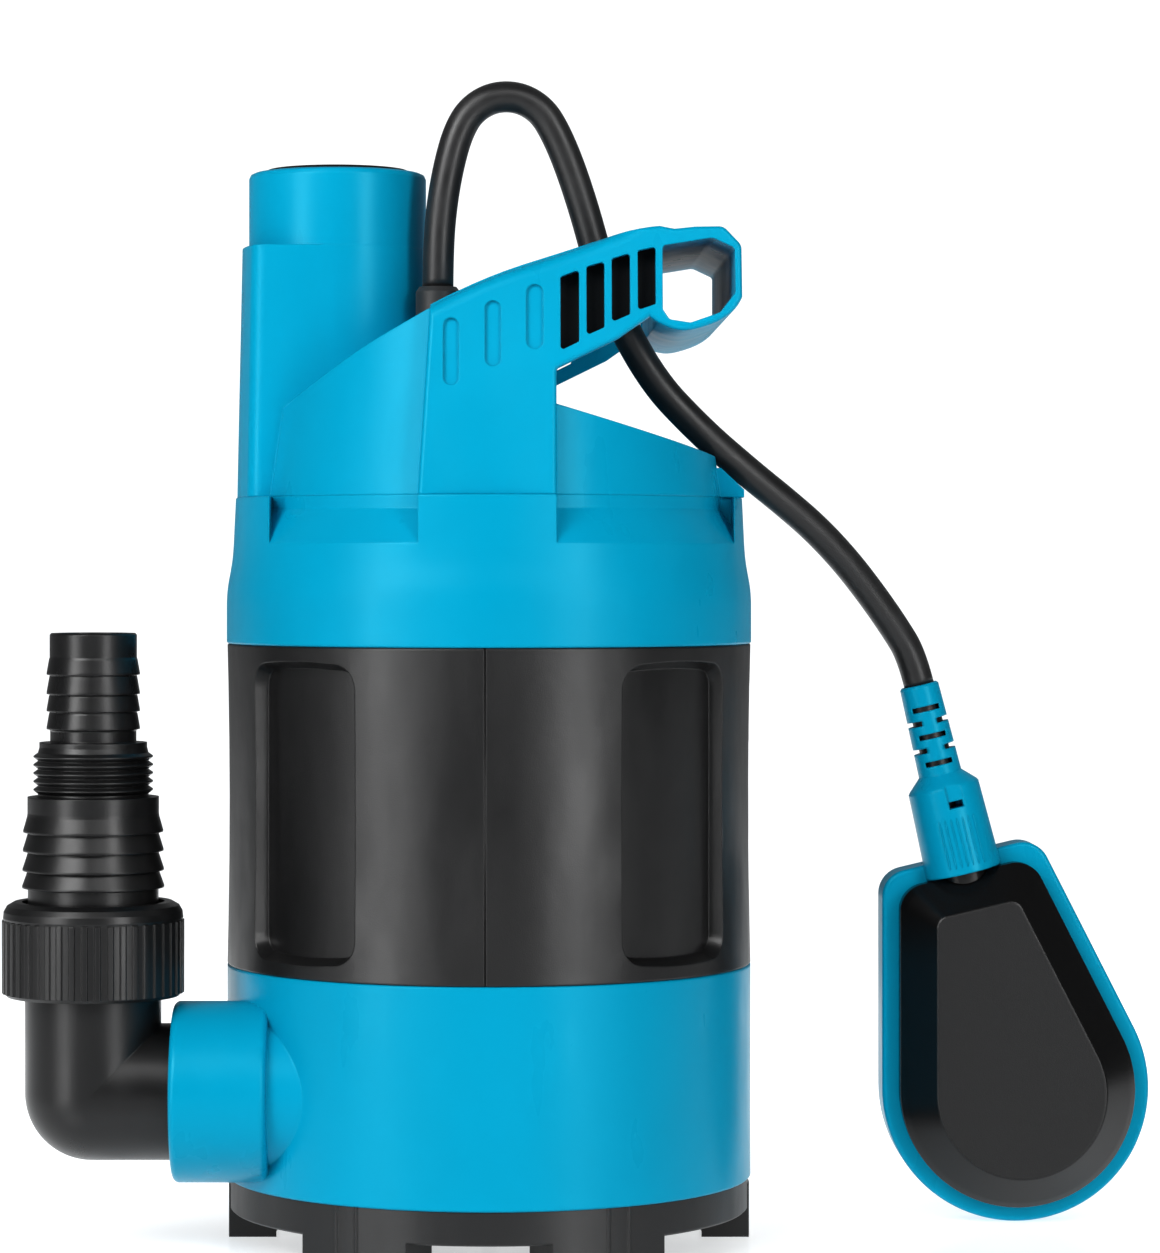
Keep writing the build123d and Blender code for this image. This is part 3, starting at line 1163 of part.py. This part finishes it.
LEVER_PIVOT = (-9.0, 18.0)
with BuildPart() as microswitch:
    with Locations(TRACK_PLANE * Location((0, 28.0, 0))):
        Box(20.0, 11.0, 7.0)
    with Locations(TRACK_PLANE * Location((LEVER_PIVOT[0], 20.6, 2.8)),
                   TRACK_PLANE * Location((LEVER_PIVOT[0], 20.6, -2.8))):
        Box(2.6, 5.0, 1.2)
    with BuildSketch(TRACK_PLANE.offset(-3.4)):
        with Locations(LEVER_PIVOT):
            Circle(0.75)
    extrude(amount=6.8)
    with Locations(TRACK_PLANE * Location((4.0, 22.0, 0))):
        Box(2.0, 1.4, 2.0)
save(microswitch, "microswitch")

with BuildPart() as switch_lever:
    with BuildSketch(TRACK_PLANE.offset(-2.0)):
        with Locations(LEVER_PIVOT):
            Circle(1.5)
        with BuildLine():
            Polyline(
                (LEVER_PIVOT[0] + 0.9, 17.4), (LEVER_PIVOT[0] + 0.9, 18.3), (8.0, 18.3),
                (8.0, 17.4), (2.6, 17.4), (0.9, 13.0), (-0.9, 13.0), (-2.6, 17.4), close=True,
            )
        make_face()
        with Locations(LEVER_PIVOT):
            Circle(0.8, mode=Mode.SUBTRACT)
    extrude(amount=4.0)
save(switch_lever, "switch_lever")

# the cable's end inside the boot: its sheath, and three insulated cores down to the switch
SHEATH_END_Y = 57.0
CORE_END_Y = 34.0
CORE_RING_R = 1.7

with BuildPart() as float_lead_end:
    turned_along(FLOAT_PLANE, [
        (0.0, SHEATH_END_Y), (CABLE_R, SHEATH_END_Y), (CABLE_R, BOOT_TOP), (0.0, BOOT_TOP),
    ])
    for turn in (90.0, 210.0, 330.0):
        core_x = CORE_RING_R * cos(radians(turn))
        core_z = CORE_RING_R * sin(radians(turn))
        core_plane = Plane(
            origin=FLOAT_PLANE.from_local_coords((core_x, CORE_END_Y, core_z)),
            x_dir=FLOAT_PLANE.x_dir, z_dir=FLOAT_PLANE.y_dir,
        )
        with BuildSketch(core_plane):
            Circle(CORE_R)
        extrude(amount=SHEATH_END_Y - CORE_END_Y + 1.0)
save(float_lead_end, "float_lead_end")

# ============================ float cable ============================
# Route from the gland, over in a tight arch, down between the two handle arms,
# over the right rim and down to the float. The two tubes meet at JOIN_POINT.
JOIN_POINT = (70.3, -5.9, 221.6)
UPPER_ROUTE = [
    (-14.4, -19.0, 270.4), (-14.3, -19.0, 282.4), (-13.2, -19.0, 294.4), (-11.3, -19.0, 305.0),
    (-8.7, -18.7, 314.3), (-5.0, -18.5, 320.6), (1.3, -18.3, 324.3), (8.7, -17.8, 324.3),
    (15.0, -17.5, 320.6), (18.9, -17.1, 314.3), (22.8, -16.5, 305.2), (27.0, -15.8, 292.6),
    (30.6, -15.0, 279.6), (34.8, -14.0, 267.2), (40.4, -12.8, 255.0), (48.4, -11.2, 242.4),
    (57.0, -9.6, 233.4), (64.5, -7.8, 226.4), JOIN_POINT,
]
LOWER_ROUTE = [
    JOIN_POINT, (76.1, -4.0, 216.8), (84.6, -0.6, 210.2), (94.0, 3.3, 202.4), (102.8, 7.4, 193.4),
    (110.8, 11.7, 183.6), (117.8, 15.3, 174.0),
]
BOOT_LEAD = 9.0


def tube(points, radius):
    """Tube along straight runs joined by tangent arcs, each as large as its runs allow."""
    corners = [Vector(*p) for p in points]
    radii = []
    for before, here, after in zip(corners, corners[1:], corners[2:]):
        run_in = here - before
        run_out = after - here
        turn = radians(run_in.get_angle(run_out))
        radii.append(0.45 * min(run_in.length, run_out.length) / tan(turn / 2.0))
    with BuildLine() as route:
        FilletPolyline(*points, radius=radii)
    line = route.wires()[0]
    with BuildSketch(Plane(origin=line @ 0, z_dir=line % 0)) as section:
        Circle(radius)
    sweep(section.sketch, path=line)
    print("arc radii in diameters:", [round(r / (2.0 * radius), 1) for r in radii])
    print("length", round(line.length, 1), "section x length", round(pi * radius ** 2 * line.length, 1))


boot_mouth = FLOAT_PLANE.from_local_coords((0, BOOT_TOP, 0))
boot_lead = FLOAT_PLANE.from_local_coords((0, BOOT_TOP + BOOT_LEAD, 0))
with BuildPart() as float_cable_upper:
    tube(UPPER_ROUTE, CABLE_R)
print("tube volume", round(float_cable_upper.part.volume, 1))
save(float_cable_upper, "float_cable_upper")

with BuildPart() as float_cable_lower:
    tube(LOWER_ROUTE + [tuple(boot_lead), tuple(boot_mouth)], CABLE_R)
print("tube volume", round(float_cable_lower.part.volume, 1))
save(float_cable_lower, "float_cable_lower")
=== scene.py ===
"""Looks of a submersible pump with a hose adapter and a float switch, built around its CAD frame.

Metres, +Z up, origin on the pump axis in the plane of the feet, -Y the front and +X the float side.
"""
import json
import math

import bpy
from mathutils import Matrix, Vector


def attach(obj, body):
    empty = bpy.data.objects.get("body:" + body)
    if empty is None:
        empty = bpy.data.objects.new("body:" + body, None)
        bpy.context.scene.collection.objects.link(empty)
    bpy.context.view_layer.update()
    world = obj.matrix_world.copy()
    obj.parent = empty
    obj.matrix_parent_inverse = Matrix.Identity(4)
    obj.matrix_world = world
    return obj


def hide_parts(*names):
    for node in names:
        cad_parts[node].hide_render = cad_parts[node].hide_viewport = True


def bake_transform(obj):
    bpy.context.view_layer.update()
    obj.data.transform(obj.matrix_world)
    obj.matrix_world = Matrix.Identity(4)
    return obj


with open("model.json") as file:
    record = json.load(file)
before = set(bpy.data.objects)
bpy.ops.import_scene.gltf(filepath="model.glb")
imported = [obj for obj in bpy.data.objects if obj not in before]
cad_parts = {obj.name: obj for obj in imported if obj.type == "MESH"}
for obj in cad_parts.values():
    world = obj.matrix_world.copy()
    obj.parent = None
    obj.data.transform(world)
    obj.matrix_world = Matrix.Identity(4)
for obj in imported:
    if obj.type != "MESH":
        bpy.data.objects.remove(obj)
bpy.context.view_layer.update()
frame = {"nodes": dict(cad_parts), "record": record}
scene = bpy.context.scene

MM = 0.001

# ============================ camera ============================
# A long lens low beside the object, level, looking along +Y; the shift keeps uprights upright.
camera_data = bpy.data.cameras.new("camera")
camera_data.sensor_width = 36.0
camera_data.lens = 118.96
camera_data.shift_x = 0.0654
camera_data.shift_y = -0.0491
camera_data.clip_start = 0.05
camera_data.clip_end = 60.0
camera = bpy.data.objects.new("camera", camera_data)
camera.location = (0.0026, -1.190, 0.1918)
camera.rotation_euler = (math.radians(90.0), 0.0, 0.0)
scene.collection.objects.link(camera)
scene.camera = camera


# ============================ node helpers ============================
def new_material(name):
    """A fresh material with a Principled shader; returns (material, nodes, links, shader)."""
    made = bpy.data.materials.new(name)
    made.use_nodes = True
    nodes = made.node_tree.nodes
    return made, nodes, made.node_tree.links, nodes["Principled BSDF"]


def noise(nodes, links, scale, detail=2.0, stretch=None, distortion=0.0):
    """A noise field over the row frame, in features per metre; stretch squeezes it along an axis."""
    place = nodes.new("ShaderNodeTexCoord")
    field = nodes.new("ShaderNodeTexNoise")
    field.inputs["Scale"].default_value = scale
    field.inputs["Detail"].default_value = detail
    field.inputs["Distortion"].default_value = distortion
    source = place.outputs["Object"]
    if stretch:
        mapping = nodes.new("ShaderNodeMapping")
        mapping.inputs["Scale"].default_value = stretch
        links.new(source, mapping.inputs["Vector"])
        source = mapping.outputs["Vector"]
    links.new(source, field.inputs["Vector"])
    return field.outputs["Fac"]


def spread(nodes, links, value, low, high, start=0.3, end=0.7):
    """Stretch a 0..1 field to low..high."""
    ranged = nodes.new("ShaderNodeMapRange")
    ranged.inputs["From Min"].default_value = start
    ranged.inputs["From Max"].default_value = end
    ranged.inputs["To Min"].default_value = low
    ranged.inputs["To Max"].default_value = high
    links.new(value, ranged.inputs["Value"])
    return ranged.outputs["Result"]


def between(nodes, links, value, first, second):
    """A colour that runs from first to second with value."""
    mix = nodes.new("ShaderNodeMix")
    mix.data_type = "RGBA"
    mix.inputs[6].default_value = (*first, 1.0)
    mix.inputs[7].default_value = (*second, 1.0)
    links.new(value, mix.inputs[0])
    return mix.outputs[2]


def bump(nodes, links, height, strength, depth, normal=None):
    """Raise the surface by a height field, on top of another normal."""
    bumped = nodes.new("ShaderNodeBump")
    bumped.inputs["Strength"].default_value = strength
    bumped.inputs["Distance"].default_value = depth
    links.new(height, bumped.inputs["Height"])
    if normal is not None:
        links.new(normal, bumped.inputs["Normal"])
    return bumped.outputs["Normal"]


def soft_edges(nodes, radius):
    """The small rounding that every moulded edge has."""
    rounded = nodes.new("ShaderNodeBevel")
    rounded.samples = 6
    rounded.inputs["Radius"].default_value = radius
    return rounded.outputs["Normal"]


def scaled(colour, factor):
    """A colour made lighter or darker."""
    return tuple(min(1.0, c * factor) for c in colour)


def moulded(
    name, colour, roughness, grain, grain_depth, edge, tone=0.05, wave=0.0, specular=0.5, glint=(1.0, 1.0, 1.0)
):
    """Injection-moulded plastic: faint flow tone, uneven gloss, fine tool grain and rounded edges.

    grain is in features per metre, edge the radius of rounded edges in metres, tone the spread of
    the colour, wave the strength of sink marks and glint the tint of highlights.
    """
    made, nodes, links, shader = new_material(name)
    cloud = noise(nodes, links, 14.0, 3.0, distortion=0.6)
    tint = spread(nodes, links, cloud, 0.0, 1.0)
    shade = between(nodes, links, tint, scaled(colour, 1 - tone), scaled(colour, 1 + tone))
    links.new(shade, shader.inputs["Base Color"])
    smear = noise(nodes, links, 60.0, 4.0, stretch=(1.0, 1.0, 0.35))
    links.new(spread(nodes, links, smear, roughness - 0.07, roughness + 0.09), shader.inputs["Roughness"])
    shader.inputs["Specular IOR Level"].default_value = specular
    shader.inputs["Specular Tint"].default_value = (*glint, 1.0)
    normal = soft_edges(nodes, edge)
    if wave:
        sink = noise(nodes, links, 45.0, 3.0)
        normal = bump(nodes, links, sink, wave, 0.0008, normal)
    fine = noise(nodes, links, grain, 2.0)
    normal = bump(nodes, links, fine, grain_depth, 0.00008, normal)
    links.new(normal, shader.inputs["Normal"])
    return made


def metal(name, colour, roughness, stretch=(1.0, 1.0, 1.0), lines=900.0, depth=0.25, edge=0.0003):
    """Machined, drawn or cast metal: fine marks along one direction and uneven polish."""
    made, nodes, links, shader = new_material(name)
    marks = noise(nodes, links, lines, 3.0, stretch=stretch)
    patch = noise(nodes, links, 45.0, 3.0)
    tint = spread(nodes, links, patch, 0.0, 1.0)
    shade = between(nodes, links, tint, scaled(colour, 0.9), scaled(colour, 1.06))
    links.new(shade, shader.inputs["Base Color"])
    links.new(spread(nodes, links, marks, roughness - 0.07, roughness + 0.1), shader.inputs["Roughness"])
    shader.inputs["Metallic"].default_value = 1.0
    normal = bump(nodes, links, marks, depth, 0.00006, soft_edges(nodes, edge))
    links.new(normal, shader.inputs["Normal"])
    return made


def banded(name, first, second, per_metre, metallic, roughness, direction="Z", depth=0.5):
    """Fine parallel bands, as on stacked sheets or wound wire."""
    made, nodes, links, shader = new_material(name)
    place = nodes.new("ShaderNodeTexCoord")
    bands = nodes.new("ShaderNodeTexWave")
    bands.bands_direction = direction
    bands.inputs["Scale"].default_value = per_metre
    bands.inputs["Distortion"].default_value = 0.4
    links.new(place.outputs["Object"], bands.inputs["Vector"])
    links.new(between(nodes, links, bands.outputs["Fac"], first, second), shader.inputs["Base Color"])
    shader.inputs["Metallic"].default_value = metallic
    patch = noise(nodes, links, 80.0, 3.0)
    links.new(spread(nodes, links, patch, roughness - 0.06, roughness + 0.08), shader.inputs["Roughness"])
    links.new(bump(nodes, links, bands.outputs["Fac"], depth, 0.0001), shader.inputs["Normal"])
    return made


def rubber(name, colour, roughness, stretch=(1.0, 1.0, 1.0), depth=0.35):
    """Rubber: dull, slightly dusty, with a fine skin."""
    made, nodes, links, shader = new_material(name)
    dust = noise(nodes, links, 120.0, 4.0)
    tint = spread(nodes, links, dust, 0.0, 1.0)
    shade = between(nodes, links, tint, scaled(colour, 0.85), scaled(colour, 1.2))
    links.new(shade, shader.inputs["Base Color"])
    links.new(spread(nodes, links, dust, roughness - 0.04, roughness + 0.07), shader.inputs["Roughness"])
    shader.inputs["Sheen Weight"].default_value = 0.08
    skin = noise(nodes, links, 1600.0, 2.0, stretch=stretch)
    links.new(bump(nodes, links, skin, depth, 0.00006), shader.inputs["Normal"])
    return made


# ============================ materials, one per finish ============================
BLUE = (0.0, 0.248, 0.396)
BLACK = (0.0085, 0.0085, 0.0088)
BLUE_GLINT = (0.25, 0.90, 1.0)

blue_plastic = moulded(
    "blue_plastic", BLUE, 0.32, 2600.0, 0.12, 0.0007, tone=0.045, wave=0.22, specular=0.28, glint=BLUE_GLINT
)
blue_float = moulded(
    "blue_float_plastic", scaled(BLUE, 0.94), 0.30, 2600.0, 0.08, 0.0009,
    tone=0.03, specular=0.30, glint=BLUE_GLINT,
)
black_sleeve = moulded(
    "black_sleeve_plastic", BLACK, 0.36, 3000.0, 0.36, 0.0006, tone=0.14, wave=0.28, specular=0.52
)
black_fitting = moulded(
    "black_fitting_plastic", scaled(BLACK, 0.95), 0.33, 2400.0, 0.22, 0.0004, tone=0.12, specular=0.45
)
black_float = moulded(
    "black_float_plastic", scaled(BLACK, 0.9), 0.30, 3200.0, 0.40, 0.0008, tone=0.10, specular=0.45
)
black_base = moulded("black_base_plastic", scaled(BLACK, 0.9), 0.42, 2400.0, 0.25, 0.0005, tone=0.12)
# painted shade: the insert behind the handle's slots is coloured darker than any other black so the slots read
# as deep shade
slot_shade_black = moulded(
    "slot_shadow_plastic", (0.0025, 0.0025, 0.0028), 0.7, 2400.0, 0.2, 0.0003, tone=0.1, specular=0.2
)
inner_plastic = moulded("inner_plastic", (0.05, 0.05, 0.055), 0.45, 1800.0, 0.3, 0.0004, tone=0.1)
white_plastic = moulded("capacitor_plastic", (0.70, 0.70, 0.67), 0.38, 1500.0, 0.15, 0.0005, tone=0.03)
cable_rubber = rubber("cable_rubber", (0.0095, 0.0095, 0.0100), 0.40)
gland_rubber = rubber("gland_rubber", (0.016, 0.016, 0.0165), 0.50)
seal_rubber = rubber("seal_rubber", (0.02, 0.02, 0.02), 0.55)
turned_steel = metal("turned_steel", (0.62, 0.62, 0.60), 0.28, stretch=(0.15, 0.15, 6.0))
drawn_can = metal("drawn_steel_can", (0.60, 0.60, 0.59), 0.34, stretch=(4.0, 4.0, 0.15))
ground_steel = metal("ground_bearing_steel", (0.60, 0.60, 0.61), 0.18, stretch=(0.2, 0.2, 5.0), depth=0.12)
polished_ball = metal("polished_ball_steel", (0.66, 0.66, 0.66), 0.10, lines=300.0, depth=0.05)
cast_aluminium = metal("cast_aluminium", (0.62, 0.63, 0.64), 0.46, lines=700.0, depth=0.6, edge=0.0006)
turned_brass = metal("turned_brass", (0.75, 0.56, 0.25), 0.25, stretch=(0.2, 0.2, 5.0))
laminations = banded("stacked_laminations", (0.20, 0.21, 0.23), (0.42, 0.43, 0.45), 320.0, 0.9, 0.42)
windings = banded("enamelled_windings", (0.42, 0.16, 0.05), (0.80, 0.38, 0.16), 180.0, 0.7, 0.30, "DIAGONAL")
ceramic = moulded("lapped_ceramic", (0.80, 0.78, 0.72), 0.16, 900.0, 0.05, 0.0002, tone=0.03)
carbon = moulded("lapped_carbon", (0.03, 0.03, 0.032), 0.30, 1200.0, 0.10, 0.0002, tone=0.2)

# the float's flat front is dull and the slopes round it glossier; its colour is painted paler on the flat
# front and painted darker on the slopes, painted light and shade picked by which way the surface faces
FLAT_NORMAL_Y = -0.99
SLOPE_NORMAL_Y = -0.93
float_nodes = black_float.node_tree.nodes
float_links = black_float.node_tree.links
float_shader = float_nodes["Principled BSDF"]
float_normal = float_nodes.new("ShaderNodeSeparateXYZ")
float_links.new(float_nodes.new("ShaderNodeTexCoord").outputs["Normal"], float_normal.inputs["Vector"])
flatness = spread(float_nodes, float_links, float_normal.outputs["Y"], 1.0, 0.0, FLAT_NORMAL_Y, SLOPE_NORMAL_Y)
# painted light and shade: the same black plastic is coloured paler where it faces front and darker on the
# slopes
float_painted_light_and_shade = between(float_nodes, float_links, flatness, scaled(BLACK, 0.55), scaled(BLACK, 1.15))
float_links.new(float_painted_light_and_shade, float_shader.inputs["Base Color"])
for socket, on_slope, on_flat in (("Roughness", 0.27, 0.46), ("Specular IOR Level", 0.34, 0.38)):
    amount = spread(float_nodes, float_links, flatness, on_slope, on_flat, 0.0, 1.0)
    float_links.new(amount, float_shader.inputs[socket])

finish_of_slot = {
    "black_plastic": black_fitting, "blue_plastic": blue_plastic, "cable_rubber": cable_rubber,
    "seal_rubber": seal_rubber, "inner_plastic": inner_plastic, "white_plastic": white_plastic,
    "aluminium": cast_aluminium, "stainless_steel": turned_steel, "bearing_steel": ground_steel,
    "lamination_steel": laminations, "copper": windings, "brass": turned_brass, "ceramic": ceramic,
    "carbon": carbon,
}
finish_of_node = {
    "mid_sleeve": black_sleeve, "strainer_base": black_base, "float_front_cover": black_float,
    "float_rear_shell": blue_float, "float_boot": blue_float, "front_slot_insert": slot_shade_black,
    "float_cable_gland": gland_rubber, "mains_cable_gland": gland_rubber, "float_neck_bushing": black_float,
    "motor_can": drawn_can, "steel_ball": polished_ball,
}
slot_of_node = {row["node"]: row["material_slot"] for row in frame["record"]["subparts"]}
for name, node in frame["nodes"].items():
    node.data.materials.clear()
    node.data.materials.append(finish_of_node.get(name, finish_of_slot[slot_of_node[name]]))

# ============================ the float's cable ============================
CABLE_DIAMETER = 0.0088
GLAND_MOUTH = (-0.0144, -0.0190, 0.2704)
RIM_POINT = (0.0703, -0.0059, 0.2216)
CABLE_STEPS = 10
CABLE_SIDES = 40
# up out of the gland, over a tight arch, down through the grip, out over the rim and down to the float
cable_route = [
    GLAND_MOUTH, (-0.0143, -0.0190, 0.2824), (-0.0132, -0.0190, 0.2944),
    (-0.0113, -0.0190, 0.3050), (-0.0087, -0.0187, 0.3143), (-0.0050, -0.0185, 0.3206),
    (0.0013, -0.0183, 0.3243), (0.0087, -0.0178, 0.3243), (0.0150, -0.0175, 0.3206),
    (0.0189, -0.0171, 0.3143), (0.0228, -0.0165, 0.3052), (0.0270, -0.0158, 0.2926),
    (0.0306, -0.0150, 0.2796), (0.0348, -0.0140, 0.2672), (0.0404, -0.0128, 0.2550),
    (0.0484, -0.0112, 0.2424), (0.0570, -0.0096, 0.2334), (0.0645, -0.0078, 0.2264),
    RIM_POINT, (0.0761, -0.0040, 0.2168), (0.0846, -0.0006, 0.2102),
    (0.0940, 0.0033, 0.2024), (0.1028, 0.0074, 0.1934), (0.1108, 0.0117, 0.1836),
    (0.1178, 0.0153, 0.1740), (0.1232, 0.0180, 0.1656), (0.1254, 0.0180, 0.1569),
]


def smooth_line(route, steps):
    """Points read from the NURBS spline that has the route as its control points."""
    curve = bpy.data.curves.new("route", "CURVE")
    curve.dimensions = "3D"
    curve.resolution_u = steps
    spline = curve.splines.new("NURBS")
    spline.points.add(len(route) - 1)
    for point, place in zip(spline.points, route):
        point.co = (*place, 1.0)
    spline.order_u = 3
    spline.use_endpoint_u = True
    holder = bpy.data.objects.new("route", curve)
    scene.collection.objects.link(holder)
    bpy.context.view_layer.update()
    flat = bpy.data.meshes.new_from_object(holder)
    points = [vertex.co.copy() for vertex in flat.vertices]
    bpy.data.objects.remove(holder)
    bpy.data.meshes.remove(flat)
    bpy.data.curves.remove(curve)
    return points


def tube_along(name, points, radius, sides):
    """A round tube with flat ends along a line of points, without twist."""
    rings = []
    forward = (points[1] - points[0]).normalized()
    side = forward.orthogonal().normalized()
    for index, point in enumerate(points):
        before = points[max(index - 1, 0)]
        after = points[min(index + 1, len(points) - 1)]
        turned = (after - before).normalized()
        side = forward.rotation_difference(turned) @ side
        forward = turned
        up = forward.cross(side)
        ring = []
        for step in range(sides):
            angle = 2 * math.pi * step / sides
            ring.append(point + radius * (math.cos(angle) * side + math.sin(angle) * up))
        rings.append(ring)
    vertices = [place for ring in rings for place in ring]
    faces = [tuple(reversed(range(sides)))]
    for row in range(len(rings) - 1):
        for step in range(sides):
            low, high = row * sides + step, row * sides + (step + 1) % sides
            faces.append((low, high, high + sides, low + sides))
    last = (len(rings) - 1) * sides
    faces.append(tuple(last + step for step in range(sides)))
    mesh = bpy.data.meshes.new(name)
    mesh.from_pydata(vertices, [], faces)
    for polygon in mesh.polygons:
        polygon.use_smooth = len(polygon.vertices) == 4
    made = bpy.data.objects.new(name, mesh)
    scene.collection.objects.link(made)
    return made


cable_line = smooth_line(cable_route, CABLE_STEPS)
cable = tube_along("float_cable", cable_line, CABLE_DIAMETER / 2, CABLE_SIDES)
cable.data.materials.append(cable_rubber)
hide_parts("float_cable_upper", "float_cable_lower")
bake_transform(cable)

# ============================ fine grip ribs on the front of the float's boot ============================
FLOAT_CENTRE = Vector((0.1536, 0.018, 0.0392))
FLOAT_TILT = math.radians(13.5)
ACROSS = Vector((math.cos(FLOAT_TILT), 0.0, math.sin(FLOAT_TILT)))
ALONG = Vector((-math.sin(FLOAT_TILT), 0.0, math.cos(FLOAT_TILT)))
FRONT = Vector((0.0, -1.0, 0.0))
BOOT_Y = (0.0651, 0.0902)
BOOT_RADIUS = (0.0111, 0.0104)
RIB_Y = (0.0672, 0.0815)
RIB_HALF_WIDTH = 0.35 * MM
RIB_PROUD = 0.25 * MM
RIB_SUNK = 0.40 * MM
RIB_PITCH = 1.7 * MM
RIB_COUNT = 7
RIB_MIDDLE = 0.6 * MM
RIB_CREST = 0.6
RIB_END = 0.4


def boot_surface(across, along, proud):
    """A point in front of the boot's tapered barrel, proud of its skin."""
    share = (along - BOOT_Y[0]) / (BOOT_Y[1] - BOOT_Y[0])
    radius = BOOT_RADIUS[0] + share * (BOOT_RADIUS[1] - BOOT_RADIUS[0]) + proud
    return FLOAT_CENTRE + across * ACROSS + along * ALONG + math.sqrt(radius**2 - across**2) * FRONT


rib_points = []
rib_faces = []
for number in range(RIB_COUNT):
    middle = RIB_MIDDLE + (number - (RIB_COUNT - 1) / 2) * RIB_PITCH
    first = len(rib_points)
    for along, taper in ((RIB_Y[0], RIB_END), (RIB_Y[0] + MM, 1.0), (RIB_Y[1] - MM, 1.0), (RIB_Y[1], RIB_END)):
        for side in (-1, 1):
            rib_points.append(boot_surface(middle + side * RIB_HALF_WIDTH, along, -RIB_SUNK))
        for side in (1, -1):
            crest = middle + side * taper * RIB_CREST * RIB_HALF_WIDTH
            rib_points.append(boot_surface(crest, along, taper * RIB_PROUD))
    for row in range(3):
        for step in range(4):
            low, high = first + 4 * row + step, first + 4 * row + (step + 1) % 4
            rib_faces.append((low, high, high + 4, low + 4))
    rib_faces.append(tuple(first + step for step in (3, 2, 1, 0)))
    rib_faces.append(tuple(first + 12 + step for step in range(4)))
rib_mesh = bpy.data.meshes.new("float_boot_ribs")
rib_mesh.from_pydata(rib_points, [], rib_faces)
rib_mesh.materials.append(blue_float)
boot_ribs = bpy.data.objects.new("float_boot_ribs", rib_mesh)
scene.collection.objects.link(boot_ribs)
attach(boot_ribs, "float")

# ============================ floor, lights and surroundings ============================
FLOOR_REACH = 1.3
FLOOR_PAINT = (0.80, 0.81, 0.82)
NO_PAINT = (0.0, 0.0, 0.0)
WHITE = (0.975, 0.99, 1.0, 1.0)
WHITE_STRENGTH = 0.985
floor_mesh = bpy.data.meshes.new("floor")
floor_corners = [(x, y, 0.0) for x, y in ((-1, -1), (1, -1), (1, 1), (-1, 1))]
floor_mesh.from_pydata([Vector(corner) * FLOOR_REACH for corner in floor_corners], [], [(0, 1, 2, 3)])
floor = bpy.data.objects.new("floor", floor_mesh)
scene.collection.objects.link(floor)
floor_paint, floor_nodes, floor_links, floor_shader = new_material("floor_paint")
# under the object the floor is plain pale paint; behind it the floor glows white, as a lit sweep does
floor_place = floor_nodes.new("ShaderNodeTexCoord")
floor_axes = floor_nodes.new("ShaderNodeSeparateXYZ")
floor_links.new(floor_place.outputs["Object"], floor_axes.inputs["Vector"])
depth_behind = floor_axes.outputs["Y"]
glow = spread(floor_nodes, floor_links, depth_behind, 0.18, WHITE_STRENGTH, -0.20, 0.25)
bare_share = spread(floor_nodes, floor_links, depth_behind, 0.0, 1.0, 0.10, 0.90)
shine = spread(floor_nodes, floor_links, depth_behind, 0.5, 0.0, 0.10, 0.90)
floor_shade = between(floor_nodes, floor_links, bare_share, FLOOR_PAINT, NO_PAINT)
floor_links.new(floor_shade, floor_shader.inputs["Base Color"])
floor_links.new(glow, floor_shader.inputs["Emission Strength"])
floor_links.new(shine, floor_shader.inputs["Specular IOR Level"])
floor_shader.inputs["Emission Color"].default_value = WHITE
floor_shader.inputs["Roughness"].default_value = 0.16
floor_mesh.materials.append(floor_paint)


AIM = Vector((0.0, 0.0, 0.15))


def softbox(name, place, width, height, power, shines=True):
    """A plain white rectangular light that faces the object; without shines it leaves no highlight."""
    data = bpy.data.lights.new(name, "AREA")
    data.shape = "RECTANGLE"
    data.size = width
    data.size_y = height
    data.energy = power
    lamp = bpy.data.objects.new(name, data)
    lamp.location = place
    lamp.visible_camera = False
    lamp.visible_glossy = shines
    lamp.rotation_euler = (AIM - Vector(place)).to_track_quat("-Z", "Y").to_euler()
    scene.collection.objects.link(lamp)


# two upright strips give the long soft highlights, two high boxes the even light
softbox("strip_left", (-1.15, -1.11, 0.55), 0.58, 1.5, 15.5)
softbox("strip_right", (0.985, -1.26, 0.55), 0.38, 1.5, 14.0)
softbox("high_left", (-0.80, -1.25, 1.20), 0.8, 0.8, 15.0)
softbox("high_right", (0.35, -1.40, 1.20), 0.7, 0.7, 4.0)
softbox("rear_fill", (0.55, 1.45, 0.95), 1.2, 1.2, 9.0, shines=False)

world = bpy.data.worlds.new("surroundings")
scene.world = world
world.use_nodes = True
sky = world.node_tree.nodes
sky_links = world.node_tree.links
background = sky["Background"]
seen = sky.new("ShaderNodeLightPath")
sky_place = sky.new("ShaderNodeTexCoord")
sky_axes = sky.new("ShaderNodeSeparateXYZ")
sky_links.new(sky_place.outputs["Generated"], sky_axes.inputs["Vector"])
# the camera sees plain white; light and reflections get a dim studio, a little brighter behind
backdrop = spread(sky, sky_links, sky_axes.outputs["Y"], 0.09, 0.20, 0.55, 0.85)
strength = sky.new("ShaderNodeMix")
strength.data_type = "FLOAT"
strength.inputs[3].default_value = WHITE_STRENGTH
sky_links.new(seen.outputs["Is Camera Ray"], strength.inputs[0])
sky_links.new(backdrop, strength.inputs[2])
background.inputs["Color"].default_value = WHITE
sky_links.new(strength.outputs[0], background.inputs["Strength"])

scene.view_settings.view_transform = "Standard"
scene.view_settings.look = "Medium High Contrast"
